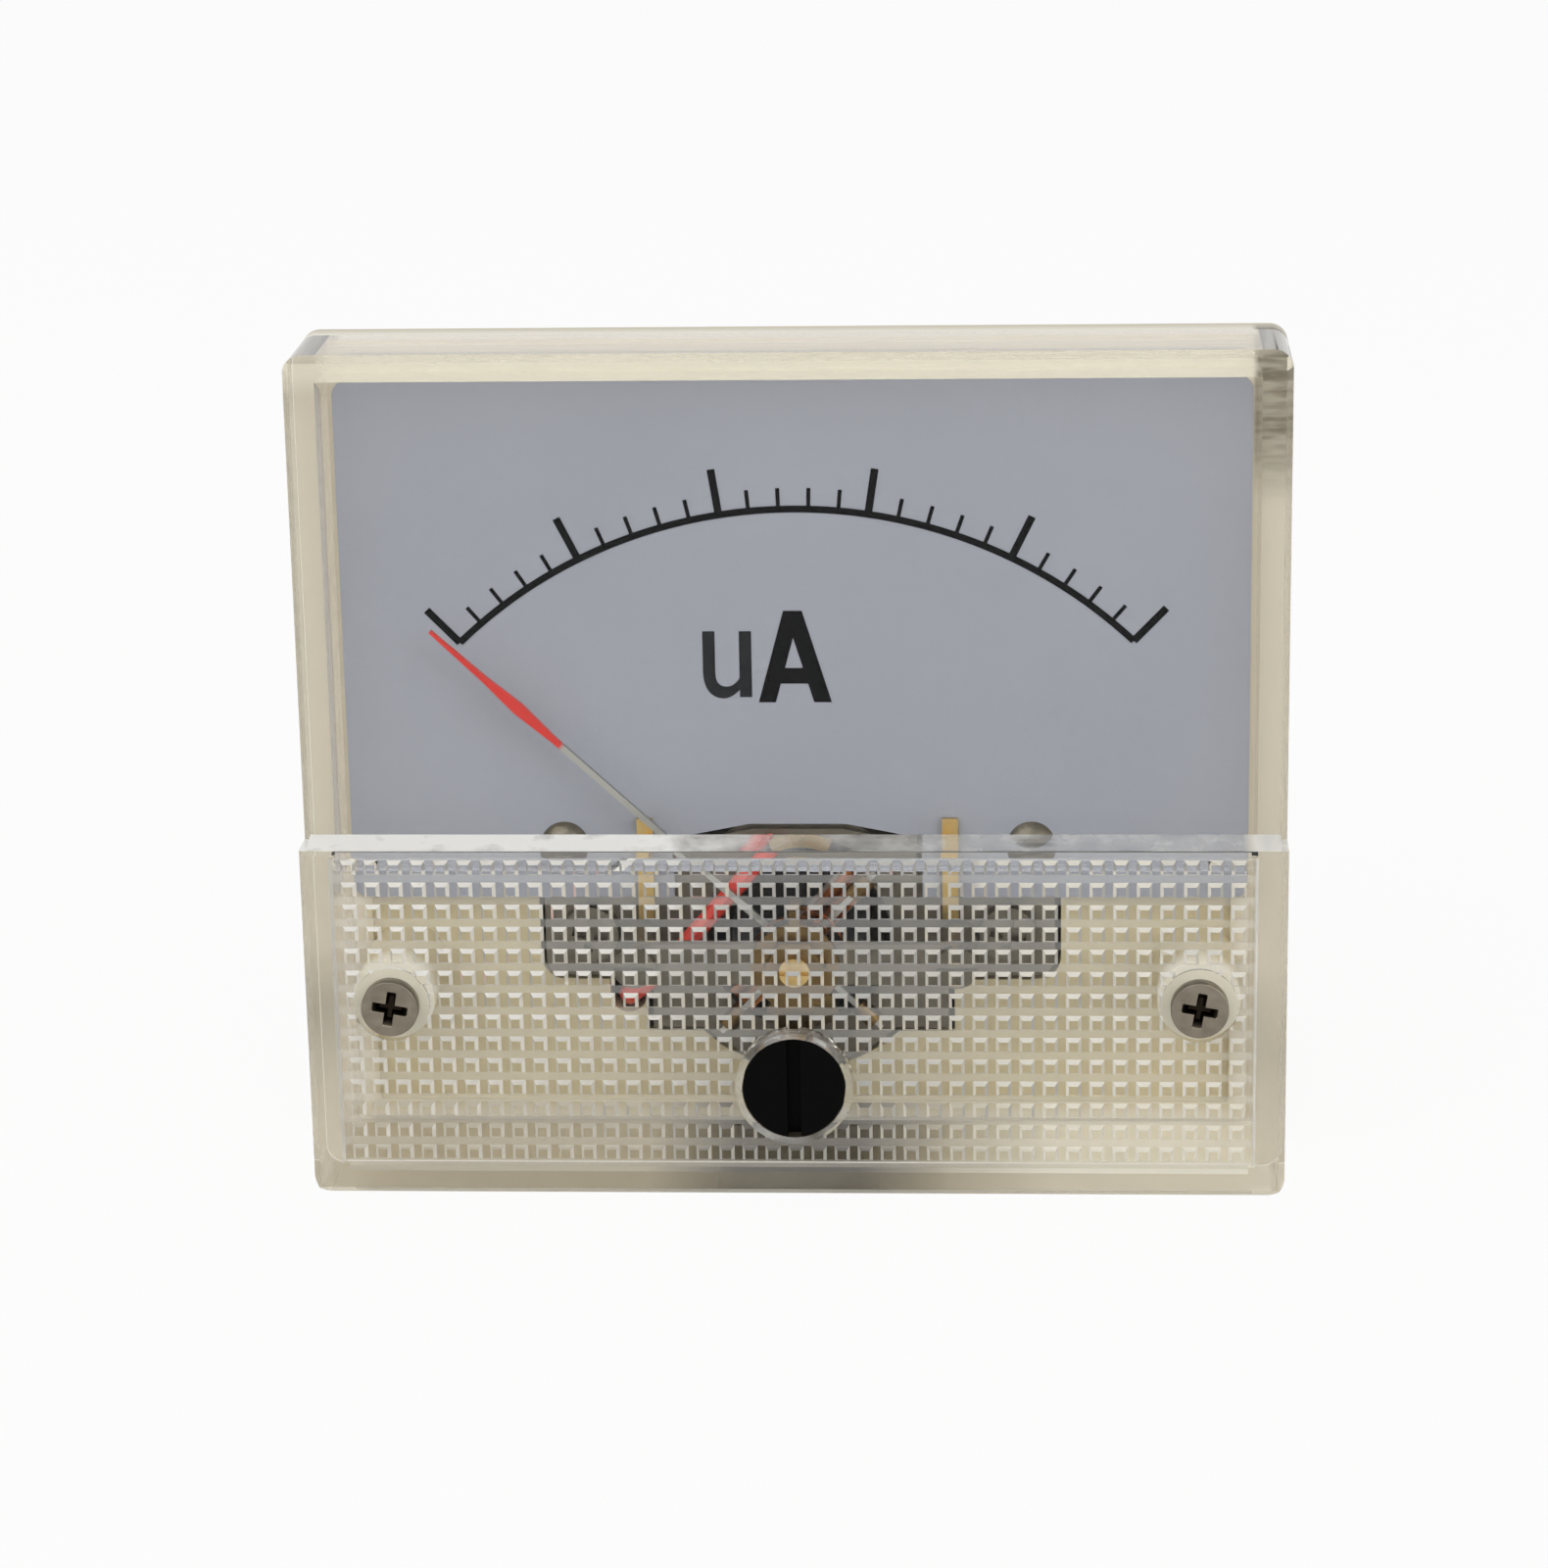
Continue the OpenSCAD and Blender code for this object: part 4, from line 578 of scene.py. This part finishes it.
# Painted highlight: the film is thickest on the left of the ledge, where light from above is caught.
dust_and_highlight_film = add(tree, "ShaderNodeMapRange", {
    "Value": where["X"], "From Min": -14 * MM, "From Max": -1 * MM, "To Min": 1.6, "To Max": 0.5})
dust_and_highlight_film = add(tree, "ShaderNodeMath", {0: dust_and_highlight_film[0], 1: specks["Fac"], 2: -0.1}, operation="MULTIPLY_ADD")
dust_and_highlight_film = add(tree, "ShaderNodeMath", {0: dust_and_highlight_film[0], 1: 1.8}, operation="MULTIPLY", use_clamp=True)
ends = add(tree, "ShaderNodeMapRange", {
    "Value": reach[0], "From Min": 28.5 * MM, "From Max": 30 * MM, "To Max": 0.75})
dust_and_highlight_film = add(tree, "ShaderNodeMath", {0: dust_and_highlight_film[0], 1: ends[0]}, operation="MAXIMUM")
inside = add(tree, "ShaderNodeNewGeometry")["Backfacing"]
outside = add(tree, "ShaderNodeMath", {0: 1.0, 1: inside}, operation="SUBTRACT")
dust_and_highlight = add(tree, "ShaderNodeMath", {0: on_ledge[0], 1: dust_and_highlight_film[0]}, operation="MULTIPLY")
dust_and_highlight = add(tree, "ShaderNodeMath", {0: dust_and_highlight[0], 1: outside[0]}, operation="MULTIPLY")

# The pads' sloping sides and the floors of the grooves that run across come a little frosted from
# the mould.
pad_slope, groove_floor = 0.447, -11.2 * MM
field_foot, row_pitch, half_groove = -24.8 * MM, 21.2 / 14 * MM, 0.27 * MM
sides = add(tree, "ShaderNodeMath", {0: slope[0], 1: pad_slope, 2: 0.05}, operation="COMPARE")
sides = add(tree, "ShaderNodeMath", {0: sides[0], 1: 0.46}, operation="MULTIPLY")
rise = add(tree, "ShaderNodeMath", {0: where["Z"], 1: -field_foot}, operation="ADD")
lane = add(tree, "ShaderNodeMath", {0: rise[0], 1: row_pitch / 2}, operation="PINGPONG")
lane = add(tree, "ShaderNodeMath", {0: lane[0], 1: half_groove}, operation="LESS_THAN")
floors = add(tree, "ShaderNodeMath", {0: where["Y"], 1: groove_floor, 2: 0.03 * MM}, operation="COMPARE")
lane = add(tree, "ShaderNodeMath", {0: lane[0], 1: floors[0]}, operation="MULTIPLY")
lane = add(tree, "ShaderNodeMath", {0: lane[0], 1: 0.18}, operation="MULTIPLY")

# The walls are rubbed in streaks along their depth and hazy in the upper corners.
walls = add(tree, "ShaderNodeMapRange", {"Value": slope[0], "From Min": 0.3, "From Max": 0.1})
rubs = add(tree, "ShaderNodeMapping", {"Vector": place, "Scale": (0.03, 0.6, 0.03)})
rubs = add(tree, "ShaderNodeTexNoise", {"Vector": rubs[0], "Scale": 1 / (0.25 * MM), "Detail": 3})
rubs = add(tree, "ShaderNodeMapRange", {
    "Value": rubs["Fac"], "From Min": 0.48, "From Max": 0.66, "To Min": 0.04, "To Max": 0.2})
rubs = add(tree, "ShaderNodeMath", {0: rubs[0], 1: walls[0]}, operation="MULTIPLY")
top = add(tree, "ShaderNodeMapRange", {"Value": where["Z"], "From Min": 24 * MM, "From Max": 26 * MM})
corner = add(tree, "ShaderNodeMapRange", {
    "Value": reach[0], "From Min": 29.5 * MM, "From Max": 30.5 * MM, "To Max": 0.4})
corner = add(tree, "ShaderNodeMath", {0: corner[0], 1: top[0]}, operation="MULTIPLY")
corner = add(tree, "ShaderNodeMath", {0: corner[0], 1: walls[0]}, operation="MULTIPLY")

# Screwdrivers have rubbed the collar, which stands out from the panel.
panel_front = -11.7 * MM
collar = add(tree, "ShaderNodeMath", {0: where["Y"], 1: panel_front}, operation="LESS_THAN")
rubbed = add(tree, "ShaderNodeMapRange", {
    "Value": specks["Fac"], "From Min": 0.35, "From Max": 0.65, "To Min": 0.06, "To Max": 0.36})
collar = add(tree, "ShaderNodeMath", {0: collar[0], 1: rubbed[0]}, operation="MULTIPLY")

# The walls have yellowed. A film lies on the bottom wall, partly dust and partly painted shade: darker in
# its middle as a painted dark reflection, and paler at its right end as painted light.
bottom = -20 * MM
aged = add(tree, "ShaderNodeMath", {0: walls[0], 1: on_ledge[0]}, operation="SUBTRACT", use_clamp=True)
tone = add(tree, "ShaderNodeMix", {0: aged[0], 6: srgb("#F8F7F3"), 7: srgb("#DED6C8")}, data_type="RGBA")
bottom_film_mask = add(tree, "ShaderNodeMath", {0: where["Z"], 1: bottom}, operation="LESS_THAN")
bottom_film_mask = add(tree, "ShaderNodeMath", {0: upward[0], 1: bottom_film_mask[0]}, operation="MULTIPLY")
lying = add(tree, "ShaderNodeMath", {0: bottom_film_mask[0], 1: 0.8}, operation="MULTIPLY")
# Painted light and shade: the bottom film is darkest in the middle and paler at the right end.
painted_light_right = add(tree, "ShaderNodeMapRange", {"Value": where["X"], "From Min": 9 * MM, "From Max": 17 * MM})
dust_and_shade_tone = add(tree, "ShaderNodeMix", {0: painted_light_right[0], 6: srgb("#C4BBA6"), 7: srgb("#F4EFE0")}, data_type="RGBA")
painted_dark_middle = add(tree, "ShaderNodeMapRange", {
    "Value": reach[0], "From Min": 4 * MM, "From Max": 10 * MM, "To Min": 1, "To Max": 0})
dust_and_shade_tone = add(tree, "ShaderNodeMix", {0: painted_dark_middle[0], 6: dust_and_shade_tone[2], 7: srgb("#4F483C")}, data_type="RGBA")
tone = add(tree, "ShaderNodeMix", {0: bottom_film_mask[0], 6: tone[2], 7: dust_and_shade_tone[2]}, data_type="RGBA")

# The densest of these layers takes its share of the clear view.
haze = rubs
for layer in (dust_and_highlight, sides, lane, lying, corner, collar):
    haze = add(tree, "ShaderNodeMath", {0: haze[0], 1: layer[0]}, operation="MAXIMUM")
clear = add(tree, "ShaderNodeMath", {0: 1.0, 1: haze[0]}, operation="SUBTRACT")
shader = add(tree, "ShaderNodeBsdfPrincipled", {
    "Base Color": tone[2], "Roughness": gloss[0], "IOR": 1.59, "Transmission Weight": clear[0],
    "Specular Tint": (0.12, 0.12, 0.12, 1)})
depth = add(tree, "ShaderNodeVolumeAbsorption", {"Color": srgb("#E2DFD4"), "Density": 10})
add(tree, "ShaderNodeOutputMaterial", {"Surface": shader[0], "Volume": depth[0]})

# A hair of air is left where the cover rests on the base, so that the wall's end stays visible.
seats, air = (-2 * MM, -9.6 * MM), 0.05 * MM
bm = merged("front_cover")
for v in bm.verts:
    if any(abs(v.co.y - seat) < slack for seat in seats):
        v.co.y -= air
clear_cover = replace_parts(piece("clear_cover", bm, clear_ps, "case", outward=False),
                          "front_cover")
clear_cover.visible_shadow = False

# Cover screws: steel machine screws with a cross recess, cold headed and plated, that go through
# the cover into the base's pillars. The recess narrows to its floor.
# Plated steel that has been handled: a warm dark grey with fine turned rings, and the recess darkened with
# depth, partly dirt and partly painted shade.
screw_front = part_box("cover_screws")[0].y
recess_r, recess_floor, taper = 1.5 * MM, screw_front + 0.7 * MM, 0.6
half_ring = 0.16 * MM
screw_steel, tree, place = begin("dulled_plated_steel")
along = add(tree, "ShaderNodeSeparateXYZ", {0: place})
off_axis = off_screws(tree, place)
rings = add(tree, "ShaderNodeMath", {0: off_axis, 1: half_ring}, operation="PINGPONG")
rings = add(tree, "ShaderNodeMath", {0: rings[0], 1: half_ring}, operation="DIVIDE")
cloud = add(tree, "ShaderNodeTexNoise", {"Vector": place, "Scale": 1 / (0.8 * MM), "Detail": 4})
tone = add(tree, "ShaderNodeMix", {0: cloud["Fac"], 6: srgb("#938B7C"), 7: srgb("#6A6256")},
           data_type="RGBA")
# Painted shade: the recess darkens with depth, partly as dirt.
deep = add(tree, "ShaderNodeMapRange", {
    "Value": along["Y"], "From Min": screw_front + 0.06 * MM, "From Max": screw_front + 0.45 * MM})
near = add(tree, "ShaderNodeMath", {0: off_axis, 1: recess_r}, operation="LESS_THAN")
recess_dirt_and_shade = add(tree, "ShaderNodeMath", {0: deep[0], 1: near[0]}, operation="MULTIPLY")
tone = add(tree, "ShaderNodeMix", {0: recess_dirt_and_shade[0], 6: tone[2], 7: srgb("#241E18")}, data_type="RGBA")
gloss = add(tree, "ShaderNodeMapRange", {"Value": cloud["Fac"], "To Min": 0.22, "To Max": 0.4})
skin = add(tree, "ShaderNodeBump", {"Height": rings[0], "Strength": 0.25, "Distance": 0.02 * MM})
shader = add(tree, "ShaderNodeBsdfPrincipled", {
    "Base Color": tone[2], "Metallic": 1, "Roughness": gloss[0], "Normal": skin[0]})
add(tree, "ShaderNodeOutputMaterial", {"Surface": shader[0]})

bm = merged("cover_screws")
for v in bm.verts:
    axis = Vector((math.copysign(screw_axis.x, v.co.x), v.co.y, screw_axis.z))
    if abs(v.co.y - recess_floor) < slack and (v.co - axis).length < recess_r:
        v.co = axis + (v.co - axis) * taper
soften(bm, 0.07 * MM, 30)
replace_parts(piece("cross_recess_screws", bm, screw_steel, "case"), "cover_screws")


# Floor and light: the meter stands on a pale floor in soft light from above left, with a
# weaker light from the right. What the camera and shiny pieces see beyond is white, and a little
# dimmer through the clear cover, where the floor keeps more of its shadow.
def white_share(tree, through):
    """How white a ray finds the surroundings: fully, or dimmed where it comes through the cover."""
    ray = add(tree, "ShaderNodeLightPath")
    seen = add(tree, "ShaderNodeMath", {0: ray["Is Camera Ray"], 1: ray["Is Glossy Ray"]},
               operation="MAXIMUM")
    dimmed = add(tree, "ShaderNodeMath", {0: ray["Is Transmission Ray"], 1: through}, operation="MULTIPLY")
    return add(tree, "ShaderNodeMath", {0: seen[0], 1: dimmed[0]}, operation="MAXIMUM")


pale_floor, tree, place = begin("pale_floor")
share = add(tree, "ShaderNodeMath", {0: white_share(tree, 0.35)[0], 1: 0.92}, operation="MULTIPLY")
matt = add(tree, "ShaderNodeBsdfDiffuse", {"Color": srgb("#F4F4F2")})
white = add(tree, "ShaderNodeEmission", {"Color": (1, 1, 1, 1), "Strength": 1})
mix = add(tree, "ShaderNodeMixShader", {0: share[0], 1: matt[0], 2: white[0]})
add(tree, "ShaderNodeOutputMaterial", {"Surface": mix[0]})
floor_z, floor_half = cad_box[0].z - 0.05 * MM, 4
bm = bmesh.new()
bmesh.ops.create_grid(bm, x_segments=1, y_segments=1, size=floor_half,
                      matrix=Matrix.Translation((0, 0, floor_z)))
floor = formed("floor", bm, pale_floor)

world = bpy.data.worlds.new("studio")
world.use_nodes = True
tree = world.node_tree
tree.nodes.clear()
soft = add(tree, "ShaderNodeBackground", {"Color": (1, 1, 1, 1), "Strength": 0.5})
white = add(tree, "ShaderNodeBackground", {"Color": (1, 1, 1, 1), "Strength": 1})
mix = add(tree, "ShaderNodeMixShader", {0: white_share(tree, 0.7)[0], 1: soft[0], 2: white[0]})
add(tree, "ShaderNodeOutputWorld", {"Surface": mix[0]})
scene.world = world

for name, spot, size, power in (("key_softbox", (-0.4, -0.5, 0.62), 0.9, 3.2),
                                ("fill_softbox", (0.55, -0.6, 0.3), 0.6, 1.6)):
    lamp = bpy.data.lights.new(name, "AREA")
    lamp.size, lamp.energy = size, power
    softbox = placed(name, lamp)
    softbox.location = spot
    softbox.rotation_euler = (-Vector(spot)).to_track_quat("-Z", "Y").to_euler()
